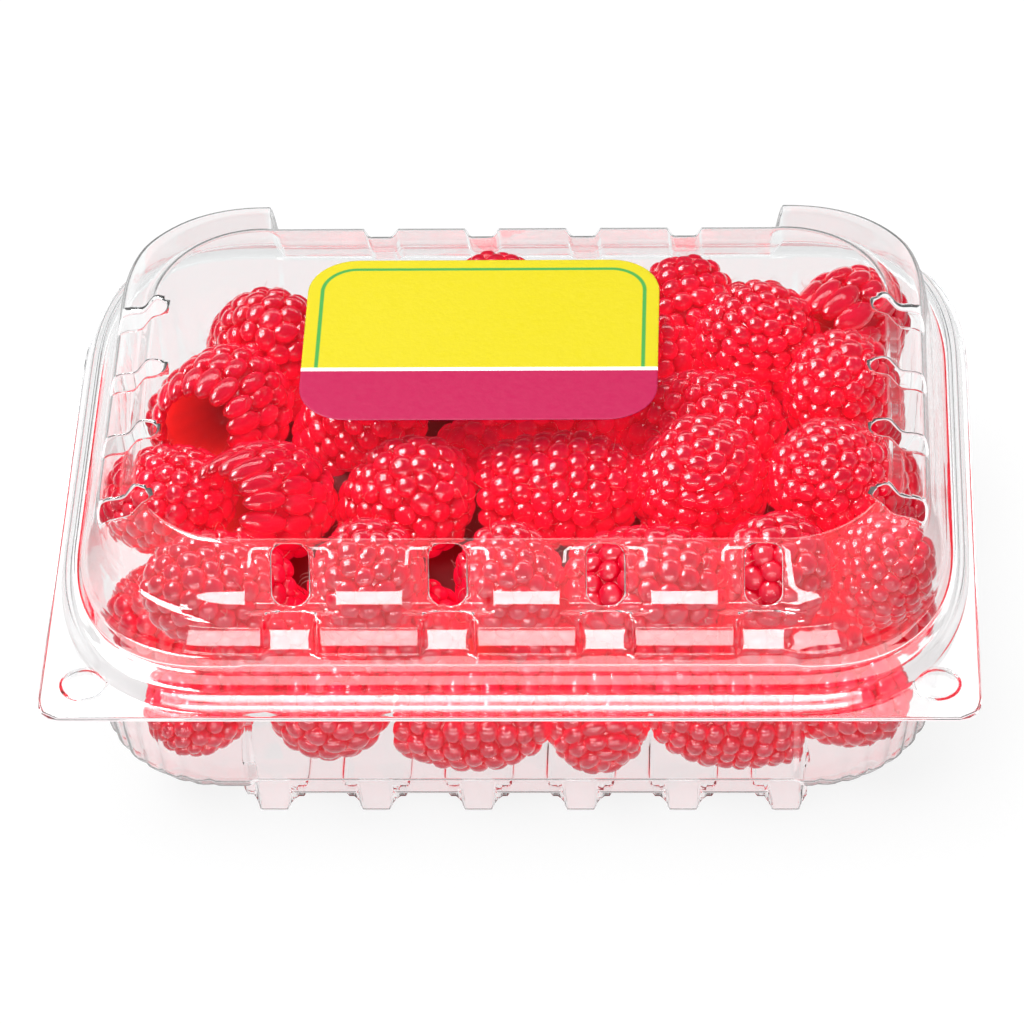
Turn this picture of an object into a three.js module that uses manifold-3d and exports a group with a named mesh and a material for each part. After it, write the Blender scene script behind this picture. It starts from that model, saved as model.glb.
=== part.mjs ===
// A clear hinged punnet of raspberries, shut: tray, lid, heap of berries and a plain sticker.
// Millimetres. X runs along the long side, Y towards the hinge at the back, Z up.

import * as THREE from 'three';
import { mergeVertices } from 'three/addons/utils/BufferGeometryUtils.js';
import Module from 'manifold-3d';

const wasm = await Module();
wasm.setup();

// Driving sizes of the pack
const WIDTH = 184;
const DEPTH = 146;
const HEIGHT = 66.5;
const SHEET = 0.6;
const GAP = 0.3;

// Heights of the main levels, each at the upper skin of its sheet
const TRAY_FLANGE = 41.6;
const LID_FLANGE = TRAY_FLANGE + GAP + SHEET;
const LID_RIM = 47.2;
const TRAY_RIM = LID_RIM - SHEET - GAP;
const FLOOR = 4.2;

// The four corners of the plan turn about these centres
const TURN_X = 54;
const TURN_Y = 26;
const CORNER_STEPS = 7;

// Upright channels in the lid's front and back walls, and the air slots
const FRONT_CHANNELS = evenRow(4, 30.6);
const FRONT_CHANNEL_HALF = 5.6;
const BACK_CHANNELS = evenRow(4, 21.4);
const BACK_CHANNEL_HALF = 2.2;
const CHANNEL_RAMP = 1.6;
const FRONT_SLOT = { width: 7.2, length: 11.6 };
const SIDE_SLOTS = { rows: [-34, -15, 4, 23], width: 5.4, inner: 67, outer: 81.5 };

// The tray's recessed middle panel and the feet under it
const PANEL_HALF = 50.5;
const PANEL_RAMP = 2.5;
const FEET = { count: 6, pitch: 20.8, front: 16, narrow: 3.1, wide: 6.3, length: 15 };

// Raised shoulders round the back corners start on the back wall, left and right
const SHOULDER = { start: 51, full: 54, fade: 0.55 };

// Rolled hinge strip along the back edge of the tray's flange; the lid turns about its middle
const HINGE = { inset: 0.7, height: TRAY_FLANGE + 0.4, radius: 0.72, length: 118 };

const BUTTON = { x: 83.5, inset: 9.5, radius: 4.4, rise: 1.1 };
const LABEL = { x: -9, y: 12, width: 72, depth: 50, corner: 10, thickness: 0.25, lift: 0.05 };

// Evenly spaced places about the middle
function evenRow(count, pitch) {
  return Array.from({ length: count }, (_, i) => (i - (count - 1) / 2) * pitch);
}

function mix(a, b, amount) {
  return a + (b - a) * amount;
}

function mixPair(a, b, amount) {
  return [mix(a[0], b[0], amount), mix(a[1], b[1], amount)];
}

function smooth(amount) {
  const t = Math.min(1, Math.max(0, amount));
  return t * t * (3 - 2 * t);
}

// How far a place lies inside one of the channels: 0 outside, 1 on its floor
function inChannel(x, centres, half, ramp) {
  const nearest = Math.min(...centres.map((centre) => Math.abs(x - centre)));
  return 1 - smooth((nearest - half) / ramp);
}

// Places along a wall where a channel's sides begin and end
function channelEdges(centres, half, ramp) {
  return centres.flatMap((x) => [x - half - ramp, x - half, x + half, x + half + ramp]);
}

// Profiles of the lid's upper skin, from the flange's edge to the flat top.
// Each point is [inset from the flange's edge, height]; round shapes the front and back corners
// of that ring, from 2 for an ellipse towards a square.
const lidSkin = {
  round: [[12, 2.8], [2.4, 2.7], [2.4, 2.6], [2.25, 2.4], [2.2, 2.3],
    [2.1, 2.2], [2, 2.15], [2, 2.1], [2, 2], [2, 2]],
  front: [[0, LID_FLANGE], [1.0, LID_FLANGE], [2.8, LID_RIM], [11.6, LID_RIM], [13.4, 54.3],
    [17.4, 55.6], [19.4, 60.8], [22.2, 65.4], [24.6, HEIGHT], [34, HEIGHT]],
  channel: [[0, LID_FLANGE], [1.0, LID_FLANGE], [2.8, LID_RIM], [11.8, LID_RIM], [14.8, 53.2],
    [18.4, 54.8], [21.6, 60.2], [23.6, 65.4], [24.6, HEIGHT], [34, HEIGHT]],
  side: [[0, LID_FLANGE], [0.8, LID_FLANGE], [2.2, LID_RIM], [5.8, LID_RIM], [8.2, 55.0],
    [10.6, 61.6], [12.9, 62.6], [16.1, 62.8], [18.5, HEIGHT], [28, HEIGHT]],
  shoulderSide: [[0, LID_FLANGE], [0.8, LID_FLANGE], [2.2, LID_RIM], [5.2, LID_RIM], [5.9, 57.0],
    [7.2, 60.4], [10.4, 61.6], [15.6, 62.4], [18.5, HEIGHT], [28, HEIGHT]],
};

// Along the back the lid's flange stops short of the hinge, and the channels are deeper
const LID_BACK_EDGE = [[1.75, LID_FLANGE], [2.3, LID_FLANGE], [3.6, LID_RIM]];
lidSkin.back = [...LID_BACK_EDGE, ...lidSkin.front.slice(3)];
lidSkin.shoulder = [...LID_BACK_EDGE, [7.0, LID_RIM], [7.6, 56.6], [9.0, 59.8], [13.0, 61.0],
  [20.0, 62.0], [24.6, HEIGHT], [34, HEIGHT]];
lidSkin.backChannel = [...LID_BACK_EDGE, [11.8, LID_RIM], [14.8, 53.2], [19.4, 54.8], [22.6, 60.2],
  [24.6, 65.4], [25.6, HEIGHT], [34, HEIGHT]];

// Profiles of the tray's upper, inner skin, from the flange's edge to the floor
const traySkin = {
  round: [[12, 2.8], [2.4, 2.7], [2.4, 2.6], [2.25, 2.4], [2.4, 2.4],
    [2.4, 2.4], [2.3, 2.3], [2.2, 2.2], [2, 2]],
  front: [[0, TRAY_FLANGE], [2.4, TRAY_FLANGE], [4.2, TRAY_RIM], [10.8, TRAY_RIM], [11.4, 20],
    [12.4, 13.2], [15.2, 9.2], [20.5, 6.2], [30, FLOOR]],
  channel: [[0, TRAY_FLANGE], [2.4, TRAY_FLANGE], [4.2, TRAY_RIM], [11.4, TRAY_RIM], [14.8, 20],
    [15.6, 9.9], [16.8, 9.3], [17.3, FLOOR], [30, FLOOR]],
  side: [[0, TRAY_FLANGE], [2.0, TRAY_FLANGE], [3.4, TRAY_RIM], [5.0, TRAY_RIM], [6.4, 20],
    [7.6, 13.2], [10.6, 9.2], [16, 6.2], [26, FLOOR]],
};

const TRAY_BACK_EDGE = [[0, TRAY_FLANGE], [3.7, TRAY_FLANGE], [5.0, TRAY_RIM]];
traySkin.back = [...TRAY_BACK_EDGE, ...traySkin.front.slice(3)];
traySkin.backChannel = [...TRAY_BACK_EDGE, ...traySkin.channel.slice(3)];
traySkin.shoulder = traySkin.back;
traySkin.shoulderSide = traySkin.side;

// The same profile one sheet's thickness below, mitred at each bend
function sheetBelow(profile) {
  const end = profile.length - 1;
  return profile.map((point, i) => {
    const before = profile[Math.max(0, i - 1)];
    const after = profile[Math.min(end, i + 1)];
    const first = i > 0 ? normalBelow(before, point) : normalBelow(point, after);
    const second = i < end ? normalBelow(point, after) : normalBelow(before, point);
    const sum = first.clone().add(second);
    const shift = sum.multiplyScalar(2 * SHEET / sum.lengthSq());
    return [point[0] + shift.x, point[1] + shift.y];
  });
}

// Unit normal on the lower side of a profile's segment that runs inwards
function normalBelow(from, to) {
  const along = new THREE.Vector2(to[0] - from[0], to[1] - from[1]).normalize();
  return new THREE.Vector2(along.y, -along.x);
}

function skinBelow(skin) {
  const below = { round: skin.round };
  for (const name of ['front', 'channel', 'side', 'back', 'backChannel', 'shoulder', 'shoulderSide']) {
    below[name] = sheetBelow(skin[name]);
  }
  return below;
}

function shoulderAt(x) {
  return smooth((Math.abs(x) - SHOULDER.start) / (SHOULDER.full - SHOULDER.start));
}

function shoulderFading(turn) {
  return 1 - smooth((turn - SHOULDER.fade) / (1 - SHOULDER.fade));
}

// Stations round the plan, anticlockwise from the front's left end
function stations(frontEdges, backEdges, panels) {
  const shoulderX = [SHOULDER.start, SHOULDER.full].flatMap((x) => [-x, x]);
  const frontX = [...new Set([-TURN_X, ...frontEdges, TURN_X])].sort((a, b) => a - b);
  const backX = [...new Set([-TURN_X, ...backEdges, ...shoulderX, TURN_X])].sort((a, b) => b - a);
  const turns = Array.from({ length: CORNER_STEPS }, (_, i) => (i + 1) / (CORNER_STEPS + 1));
  const plain = { recess: 0, shoulder: 0 };
  const frontTurn = (side, turn) => ({ ...plain, corner: [side, -1], turn, front: true });
  const backTurn = (side, turn) => ({ ...plain, corner: [side, 1], turn, shoulder: shoulderFading(turn) });
  return [
    ...frontX.map((x) => ({ ...plain, x, y: -1, front: true, recess: panels.front(x) })),
    ...turns.map((turn) => frontTurn(1, turn)),
    ...[-TURN_Y, 0, TURN_Y].map((y) => ({ ...plain, y, x: 1, side: true })),
    ...turns.map((turn) => backTurn(1, 1 - turn)),
    ...backX.map((x) => ({ x, y: 1, recess: panels.back(x), shoulder: shoulderAt(x) })),
    ...turns.map((turn) => backTurn(-1, turn)),
    ...[TURN_Y, 0, -TURN_Y].map((y) => ({ ...plain, y, x: -1, side: true })),
    ...turns.map((turn) => frontTurn(-1, 1 - turn)),
  ];
}

// Point of one ring of a skin at one station
function skinPoint(skin, index, station) {
  const plain = station.front
    ? mixPair(skin.front[index], skin.channel[index], station.recess)
    : mixPair(skin.back[index], skin.backChannel[index], station.recess);
  const end = mixPair(plain, skin.shoulder[index], station.shoulder);
  const side = mixPair(skin.side[index], skin.shoulderSide[index], station.shoulder);
  const halfX = WIDTH / 2 - side[0];
  const halfY = DEPTH / 2 - end[0];
  if (station.corner) {
    const angle = station.turn * Math.PI / 2;
    const power = 2 / skin.round[index][station.front ? 0 : 1];
    const x = TURN_X + (halfX - TURN_X) * Math.sin(angle) ** power;
    const y = TURN_Y + (halfY - TURN_Y) * Math.cos(angle) ** power;
    const height = mix(end[1], side[1], smooth(station.turn));
    return [station.corner[0] * x, station.corner[1] * y, height];
  }
  if (station.side) {
    return [station.x * halfX, station.y, side[1]];
  }
  return [station.x, station.y * halfY, end[1]];
}

// Closed thin shell: upper skin from the middle out, lower skin back to the middle
function shell(skin, places) {
  const lower = skinBelow(skin);
  const count = skin.front.length;
  const rings = [];
  for (let i = count - 1; i >= 0; i -= 1) {
    rings.push(places.map((place) => skinPoint(skin, i, place)));
  }
  for (let i = 0; i < count; i += 1) {
    rings.push(places.map((place) => skinPoint(lower, i, place)));
  }
  return closedRings(rings);
}

// Solid through a stack of rings, closed by a fan at each end
function closedRings(rings) {
  const size = rings[0].length;
  const positions = rings.flat(2);
  const faces = [];
  for (let r = 0; r < rings.length - 1; r += 1) {
    for (let i = 0; i < size; i += 1) {
      const j = (i + 1) % size;
      const [a, b, c, d] = [r * size + i, r * size + j, (r + 1) * size + j, (r + 1) * size + i];
      faces.push(a, d, b, b, d, c);
    }
  }
  const first = addMiddle(positions, rings[0]);
  const last = addMiddle(positions, rings[rings.length - 1]);
  const lastStart = (rings.length - 1) * size;
  for (let i = 0; i < size; i += 1) {
    const j = (i + 1) % size;
    faces.push(first, i, j);
    faces.push(last, lastStart + j, lastStart + i);
  }
  const geometry = new THREE.BufferGeometry();
  geometry.setAttribute('position', new THREE.Float32BufferAttribute(positions, 3));
  geometry.setIndex(faces);
  return geometry;
}

function addMiddle(positions, ring) {
  const middle = [0, 1, 2].map((axis) => ring.reduce((sum, point) => sum + point[axis], 0) / ring.length);
  positions.push(...middle);
  return positions.length / 3 - 1;
}

function toManifold(source) {
  const geometry = source.clone();
  geometry.deleteAttribute('normal');
  geometry.deleteAttribute('uv');
  const merged = mergeVertices(geometry, 1e-4);
  return new wasm.Manifold(new wasm.Mesh({
    numProp: 3,
    vertProperties: new Float32Array(merged.attributes.position.array),
    triVerts: new Uint32Array(merged.index.array),
  }));
}

function toGeometry(solid) {
  const mesh = solid.getMesh();
  const geometry = new THREE.BufferGeometry();
  geometry.setAttribute('position', new THREE.Float32BufferAttribute(mesh.vertProperties, 3));
  geometry.setIndex(Array.from(mesh.triVerts));
  geometry.computeVertexNormals();
  return geometry;
}

// Upright prism of a shape drawn in the XY plane
function prism(shape, bottom, top) {
  const options = { depth: top - bottom, bevelEnabled: false, curveSegments: 6 };
  const geometry = new THREE.ExtrudeGeometry(shape, options);
  geometry.translate(0, 0, bottom);
  return geometry;
}

// Long hole's outline: two half circles joined by straight sides, along X
function longHole(length, width) {
  const reach = length / 2 - width / 2;
  const shape = new THREE.Shape();
  shape.absarc(reach, 0, width / 2, -Math.PI / 2, Math.PI / 2);
  shape.absarc(-reach, 0, width / 2, Math.PI / 2, 3 * Math.PI / 2);
  return shape;
}

// Air slots through the front channels, square to the sloping wall
function frontSlots() {
  const lean = Math.atan2(lidSkin.channel[8][0] - lidSkin.channel[5][0], HEIGHT - lidSkin.channel[5][1]);
  const inset = (lidSkin.channel[8][0] + lidSkin.channel[5][0]) / 2;
  const height = (HEIGHT + lidSkin.channel[5][1]) / 2;
  return FRONT_CHANNELS.map((x) => {
    const slot = prism(longHole(FRONT_SLOT.length, FRONT_SLOT.width), -4, 4);
    slot.rotateZ(Math.PI / 2);
    slot.rotateX(Math.PI / 2 - lean);
    slot.translate(x, inset - DEPTH / 2, height);
    return toManifold(slot);
  });
}

// Air slots that run over the stepped side walls, cut straight down
function sideSlots() {
  const length = SIDE_SLOTS.outer - SIDE_SLOTS.inner;
  const middle = (SIDE_SLOTS.outer + SIDE_SLOTS.inner) / 2;
  return [-1, 1].flatMap((side) => SIDE_SLOTS.rows.map((y) => {
    const slot = prism(longHole(length, SIDE_SLOTS.width), LID_RIM + 2, HEIGHT + 1);
    slot.translate(side * middle, y, 0);
    return toManifold(slot);
  }));
}

// Press buttons on the square front tabs of the lid's flange
function buttons() {
  const height = BUTTON.rise + SHEET / 2;
  return [-1, 1].map((side) => {
    const button = new THREE.CylinderGeometry(BUTTON.radius * 0.8, BUTTON.radius, height, 14);
    button.rotateX(Math.PI / 2);
    button.translate(side * BUTTON.x, BUTTON.inset - DEPTH / 2, LID_FLANGE - SHEET / 2 + height / 2);
    return toManifold(button);
  });
}

function lidGeometry() {
  const panels = {
    front: (x) => inChannel(x, FRONT_CHANNELS, FRONT_CHANNEL_HALF, CHANNEL_RAMP),
    back: (x) => inChannel(x, BACK_CHANNELS, BACK_CHANNEL_HALF, CHANNEL_RAMP),
  };
  const frontEdges = channelEdges(FRONT_CHANNELS, FRONT_CHANNEL_HALF, CHANNEL_RAMP);
  const backEdges = channelEdges(BACK_CHANNELS, BACK_CHANNEL_HALF, CHANNEL_RAMP);
  let lid = toManifold(shell(lidSkin, stations(frontEdges, backEdges, panels)));
  for (const button of buttons()) {
    lid = lid.add(button);
  }
  for (const slot of [...frontSlots(), ...sideSlots()]) {
    lid = lid.subtract(slot);
  }
  return toGeometry(lid);
}

// One foot seen from above: a narrow nose that widens to a block behind it
function footShape(x, side, margin) {
  const face = DEPTH / 2 - FEET.front - margin;
  const narrow = FEET.narrow - margin;
  const wide = FEET.wide - margin;
  const back = DEPTH / 2 - FEET.front - FEET.length + margin;
  const outline = [[-narrow, face], [-narrow, face - 2.6], [-wide, face - 4.8], [-wide, back],
    [wide, back], [wide, face - 4.8], [narrow, face - 2.6], [narrow, face]];
  return new THREE.Shape(outline.map((point) => new THREE.Vector2(x + point[0] * side, -point[1] * side)));
}

function trayGeometry() {
  const panel = (x) => 1 - smooth((Math.abs(x) - PANEL_HALF) / PANEL_RAMP);
  const edges = [-PANEL_HALF - PANEL_RAMP, -PANEL_HALF, -17, 17, PANEL_HALF, PANEL_HALF + PANEL_RAMP];
  let tray = toManifold(shell(traySkin, stations(edges, edges, { front: panel, back: panel })));
  const hollows = [];
  for (const side of [-1, 1]) {
    for (const x of evenRow(FEET.count, FEET.pitch)) {
      tray = tray.add(toManifold(prism(footShape(x, side, 0), 0, FLOOR - SHEET / 2)));
      hollows.push(toManifold(prism(footShape(x, side, SHEET), SHEET, FLOOR + 0.1)));
    }
  }
  for (const hollow of hollows) {
    tray = tray.subtract(hollow);
  }
  const hinge = new THREE.CylinderGeometry(HINGE.radius, HINGE.radius, HINGE.length, 10);
  hinge.rotateZ(Math.PI / 2);
  hinge.translate(0, DEPTH / 2 - HINGE.inset, HINGE.height);
  tray = tray.add(toManifold(hinge));
  return toGeometry(tray);
}

// Berries of the heap. Each is [x, y, z of its middle, width, lean, turn], and a lean past
// 90 degrees shows the hollow where the stalk was. Turn 0 leans to the front.
const BERRIES = {
  frontRow: [[-59, -38, 44.5, 25, 25, -20], [-29, -37, 46.5, 25, 20, 10], [0, -38, 46, 24, 22, 0],
    [27, -37, 46.5, 26, 30, 30], [51, -34.5, 46, 25, 25, 30], [70, -27, 44, 23, 30, 50]],
  secondRow: [[-70, -8, 44, 25, 55, -70], [-48, -12.5, 47.5, 25, 118, -150], [-21.5, -13.5, 48, 27, 12, 40],
    [7.5, -10.5, 48, 27, 15, -20], [36.5, -8.5, 48, 26, 18, 10], [62, -6, 47, 26, 20, -30]],
  thirdRow: [[-60, 14.5, 47, 27, 112, 155], [-32, 12, 46, 25, 30, 90], [7.5, 14, 47, 26, 20, 160],
    [38, 15, 46, 26, 35, 60], [65, 20.5, 47, 26, 12, -20]],
  fourthRow: [[-55, 37, 47, 26, 40, 30], [-27, 36, 46, 25, 15, 0], [-3, 31, 45, 25, 60, 90],
    [23, 28, 45, 25, 70, -90], [48.5, 32, 48, 27, 15, 20]],
  backRow: [[-6, 46, 44.5, 24, 20, 180], [34, 43, 46, 25, 50, -160], [66, 44, 46, 24, 108, 170]],
  belowFront: evenRow(6, 26).map((x, i) => [x, -43.6, 18.6, 25 - (i % 2), 90 + 20 * (i % 3), 60 * i]),
  belowBack: evenRow(6, 26).map((x, i) => [x, 43.6, 18.6, 24 + (i % 2), 75 + 15 * (i % 3), 80 * i]),
  belowSides: [-1, 1].flatMap((side) => [-16, 15].map((y) => [side * 69, y, 19, 25, 80, 45 * side])),
};
const HOLLOW_BERRIES = [BERRIES.secondRow[1], BERRIES.thirdRow[0], BERRIES.backRow[2]];
const CORE = { x: 62.5, y: 42.3, bottom: 12, top: 44, sides: 16 };

// Low faceted berry, tip up: rounded cone whose rings turn against each other
function berryGeometry(width, length) {
  const sides = 8;
  const outline = [[0.42, -0.48], [0.97, -0.24], [1.0, 0.06], [0.84, 0.3], [0.5, 0.46]];
  const rings = outline.map(([reach, height], r) => Array.from({ length: sides }, (_, i) => {
    const angle = -(i + (r % 2) / 2) * 2 * Math.PI / sides;
    const radius = reach * width / 2;
    return [radius * Math.cos(angle), radius * Math.sin(angle), height * length];
  }));
  return closedRings(rings);
}

function placeBerry(geometry, [x, y, z, , lean, turn]) {
  geometry.rotateX(THREE.MathUtils.degToRad(lean));
  geometry.rotateZ(THREE.MathUtils.degToRad(turn));
  geometry.translate(x, y, z);
  return toManifold(geometry);
}

// Block inside the heap that joins the berries, between round and square in plan
function coreGeometry() {
  const levels = [[0.8, CORE.bottom], [1, CORE.bottom + 9], [1, CORE.top - 10], [0.82, CORE.top]];
  const rings = levels.map(([reach, height]) => Array.from({ length: CORE.sides }, (_, i) => {
    const angle = -i * 2 * Math.PI / CORE.sides;
    const [cos, sin] = [Math.cos(angle), Math.sin(angle)];
    const round = reach / Math.max(Math.abs(cos), Math.abs(sin)) ** 0.84;
    return [CORE.x * round * cos, CORE.y * round * sin, height];
  }));
  return closedRings(rings);
}

function heapGeometry() {
  let heap = toManifold(coreGeometry());
  for (const berry of Object.values(BERRIES).flat()) {
    heap = heap.add(placeBerry(berryGeometry(berry[3], berry[3] * 1.02), berry));
  }
  for (const berry of HOLLOW_BERRIES) {
    const cup = new THREE.CylinderGeometry(berry[3] * 0.31, berry[3] * 0.2, berry[3] * 0.5, 8);
    cup.rotateX(-Math.PI / 2);
    cup.translate(0, 0, -berry[3] * 0.36);
    heap = heap.subtract(placeBerry(cup, berry));
  }
  return toGeometry(outerBody(heap));
}

// The heap's outside alone, so that pockets sealed between berries are filled
function outerBody(heap) {
  return heap.decompose().reduce((most, body) => (body.volume() > most.volume() ? body : most));
}

// Plain sticker with round corners
function labelGeometry() {
  const x = LABEL.width / 2;
  const y = LABEL.depth / 2;
  const r = LABEL.corner;
  const shape = new THREE.Shape();
  shape.absarc(x - r, y - r, r, 0, Math.PI / 2);
  shape.absarc(-x + r, y - r, r, Math.PI / 2, Math.PI);
  shape.absarc(-x + r, -y + r, r, Math.PI, 1.5 * Math.PI);
  shape.absarc(x - r, -y + r, r, 1.5 * Math.PI, 2 * Math.PI);
  return prism(shape, 0, LABEL.thickness);
}

const clearPlastic = { color: 0xe9eef0, roughness: 0.06, metalness: 0 };

function piece(name, geometry, look) {
  const mesh = new THREE.Mesh(geometry, new THREE.MeshStandardMaterial(look));
  mesh.name = name;
  return mesh;
}

const punnet = new THREE.Group();
const label = piece('label', labelGeometry(), { color: 0xffe715, roughness: 0.45, metalness: 0 });
label.position.set(LABEL.x, LABEL.y, HEIGHT + LABEL.lift);
punnet.add(
  piece('tray', trayGeometry(), clearPlastic),
  piece('berries', heapGeometry(), { color: 0xc8102e, roughness: 0.4, metalness: 0 }),
  piece('lid', lidGeometry(), clearPlastic),
  label,
);

export default punnet;
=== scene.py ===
# %% [markdown]
# # A shut punnet of raspberries
#
# A fruit punnet is one clear sheet of plastic, formed hot over two moulds: a tray with feet, and a
# lid with air slots, joined by a thin hinge at the back. It is full of raspberries, and a paper
# sticker sits on the lid. The pack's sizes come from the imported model, which this script loads as a
# fixed frame. Everything here is modelled in millimetres and put into Blender in metres.

# %% The frame and the tools
import math

import bpy
import numpy as np
from mathutils import Matrix, Vector


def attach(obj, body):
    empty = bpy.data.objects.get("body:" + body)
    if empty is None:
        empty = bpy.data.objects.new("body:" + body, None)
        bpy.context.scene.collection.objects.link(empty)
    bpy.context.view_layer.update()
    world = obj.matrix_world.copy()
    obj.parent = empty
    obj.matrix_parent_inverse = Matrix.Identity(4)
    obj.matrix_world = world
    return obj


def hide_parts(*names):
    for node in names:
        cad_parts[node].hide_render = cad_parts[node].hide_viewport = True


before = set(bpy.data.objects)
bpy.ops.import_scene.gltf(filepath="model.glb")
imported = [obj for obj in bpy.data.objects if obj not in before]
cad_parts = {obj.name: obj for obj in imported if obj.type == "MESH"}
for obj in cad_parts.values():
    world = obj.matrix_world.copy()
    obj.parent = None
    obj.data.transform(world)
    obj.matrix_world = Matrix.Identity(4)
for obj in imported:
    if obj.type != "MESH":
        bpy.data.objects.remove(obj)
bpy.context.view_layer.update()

# %% [markdown]
# ## The camera
#
# The picture was taken from the front with a long lens, 42 degrees above the table, a little to the
# right of the middle, and held slightly turned. A long lens far away keeps the pack's sides almost
# parallel, so the lens is worked out from the photo before anything is built.

# %% Camera
MM = 0.001
CAMERA = {"rise": 42.0, "aside": 3.4, "roll": 2.4, "distance": 1.153, "lens": 197.4}
AIM = Vector((0.0, 0.0, 0.030))


def camera_axes(rise, aside, roll):
    """Right, up and forward of a camera that looks down by `rise` degrees from `aside` degrees to the
    right of the front, then turned clockwise about its own view line by `roll` degrees."""
    rise, aside, roll = (math.radians(angle) for angle in (rise, aside, roll))
    forward = Vector((-math.sin(aside) * math.cos(rise), math.cos(aside) * math.cos(rise), -math.sin(rise)))
    up = Vector((-math.sin(aside) * math.sin(rise), math.cos(aside) * math.sin(rise), math.cos(rise)))
    right = forward.cross(up)
    turned_right = math.cos(roll) * right - math.sin(roll) * up
    turned_up = math.sin(roll) * right + math.cos(roll) * up
    return turned_right, turned_up, forward


right, up, forward = camera_axes(CAMERA["rise"], CAMERA["aside"], CAMERA["roll"])
camera = bpy.data.objects.new("camera", bpy.data.cameras.new("camera"))
camera.data.lens = CAMERA["lens"]
camera.data.sensor_width = 36.0
camera.data.shift_x = -9 / 1024
camera.data.shift_y = 2 / 1024
camera.matrix_world = Matrix.Translation(AIM - forward * CAMERA["distance"]) @ Matrix(
    (right, up, -forward)).transposed().to_4x4()
bpy.context.collection.objects.link(camera)
bpy.context.scene.camera = camera
print("camera at", [round(value, 3) for value in camera.location])

# %% [markdown]
# ## Table and light
#
# The pack stands on a white table in a white studio. Clear plastic shows only what it reflects and
# bends, so the light matters more than the material: two long strips in front give the white bands
# on the faces under the air slots, and a window high on the left puts a bright spot on every
# drupelet. Soft light from overhead and from the front is never mirrored, it only lights things up.
# The surroundings are white where they are looked at, also through the plastic, and duller where
# they are only mirrored, as in a room with dark walls behind the camera.

# %% Studio helpers
scene = bpy.context.scene
scene.view_settings.view_transform = "Standard"
scene.cycles.transparent_max_bounces = 24
scene.cycles.max_bounces = 8
scene.cycles.transmission_bounces = 8
scene.cycles.glossy_bounces = 4
scene.cycles.diffuse_bounces = 2
scene.cycles.caustics_reflective = False
scene.cycles.caustics_refractive = False


def softbox(name, place, target, size, radiance, lights_up=True, mirrored=True):
    """A rectangular light at `place`, facing `target`, hidden from direct view. Its power is
    radiance x pi x area. It may light things up, be mirrored in them, or both."""
    data = bpy.data.lights.new(name, "AREA")
    data.shape = "RECTANGLE"
    data.size, data.size_y = size
    data.energy = radiance * math.pi * size[0] * size[1]
    light = bpy.data.objects.new(name, data)
    light.location = place
    towards = Vector(target) - Vector(place)
    light.rotation_euler = towards.to_track_quat("-Z", "Y").to_euler()
    light.visible_camera = False
    light.visible_transmission = mirrored
    light.visible_diffuse = lights_up
    light.visible_glossy = mirrored
    bpy.context.collection.objects.link(light)
    return light


def fill(tree, node, values):
    """Gives a node's inputs their values: plain ones are stored, sockets are linked."""
    for key, value in values.items():
        if isinstance(value, bpy.types.NodeSocket):
            tree.links.new(value, node.inputs[key])
        else:
            node.inputs[key].default_value = value


def add_node(tree, kind, values=(), **settings):
    """A shader node of a kind, with its settings and its inputs' values."""
    node = tree.nodes.new("ShaderNode" + kind)
    for key, setting in settings.items():
        setattr(node, key, setting)
    fill(tree, node, dict(values))
    return node


def new_material(name):
    """A node material with one Principled shader. Returns it, its tree, the shader and the output."""
    material = bpy.data.materials.new(name)
    material.use_nodes = True
    tree = material.node_tree
    tree.nodes.clear()
    skin = add_node(tree, "BsdfPrincipled")
    output = add_node(tree, "OutputMaterial", {"Surface": skin.outputs["BSDF"]})
    return material, tree, skin, output


# %% Surroundings
SURROUNDINGS = {"seen": 0.985, "lighting": 0.62, "mirrored": 0.11, "through": 0.85, "dark": 0.05}
DARK_PART = Vector((0.0, math.cos(math.radians(42)), math.sin(math.radians(42))))


def maths(tree, operation, *values):
    """A maths node on sockets or plain values. Returns its result."""
    return add_node(tree, "Math", enumerate(values), operation=operation).outputs[0]


def mirrored_share(tree, path):
    """1 for a ray that some surface has mirrored, else 0. Passing a sheet takes two bends, so a ray
    that has only been bent has an even depth, and one reflection makes the depth odd."""
    odd = maths(tree, "MODULO", path.outputs["Ray Depth"], 2.0)
    return maths(tree, "MULTIPLY", odd, maths(tree, "SUBTRACT", 1.0, path.outputs["Is Diffuse Ray"]))


def white_studio():
    """Surroundings of one brightness for each use: looked at, lighting, mirrored, or seen through
    plastic. The part behind the pack that its flat top mirrors towards the camera is dark up to 22
    degrees from its middle and fades out by 37, so that the plastic stays clear there."""
    world = bpy.data.worlds.new("white studio")
    world.use_nodes = True
    tree = world.node_tree
    tree.nodes.clear()
    path = add_node(tree, "LightPath")
    place = add_node(tree, "TexCoord")
    nearness = add_node(tree, "VectorMath", {0: place.outputs["Generated"], 1: DARK_PART},
                        operation="DOT_PRODUCT")
    reach = {"Value": nearness.outputs["Value"], "From Min": 0.80, "From Max": 0.93}
    dark_share = add_node(tree, "MapRange", reach, interpolation_type="SMOOTHSTEP")
    loss = SURROUNDINGS["mirrored"] - SURROUNDINGS["through"]
    level = maths(tree, "MULTIPLY_ADD", mirrored_share(tree, path), loss, SURROUNDINGS["through"])
    drop = maths(tree, "SUBTRACT", level, SURROUNDINGS["dark"])
    level = maths(tree, "SUBTRACT", level, maths(tree, "MULTIPLY", drop, dark_share.outputs["Result"]))
    for use, name in (("Is Diffuse Ray", "lighting"), ("Is Camera Ray", "seen")):
        gain = maths(tree, "MULTIPLY", maths(tree, "SUBTRACT", SURROUNDINGS[name], level), path.outputs[use])
        level = maths(tree, "ADD", level, gain)
    surround = add_node(tree, "Background", {"Color": (1.0, 1.0, 1.0, 1.0), "Strength": level})
    add_node(tree, "OutputWorld", {"Surface": surround.outputs[0]})
    return world


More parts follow.
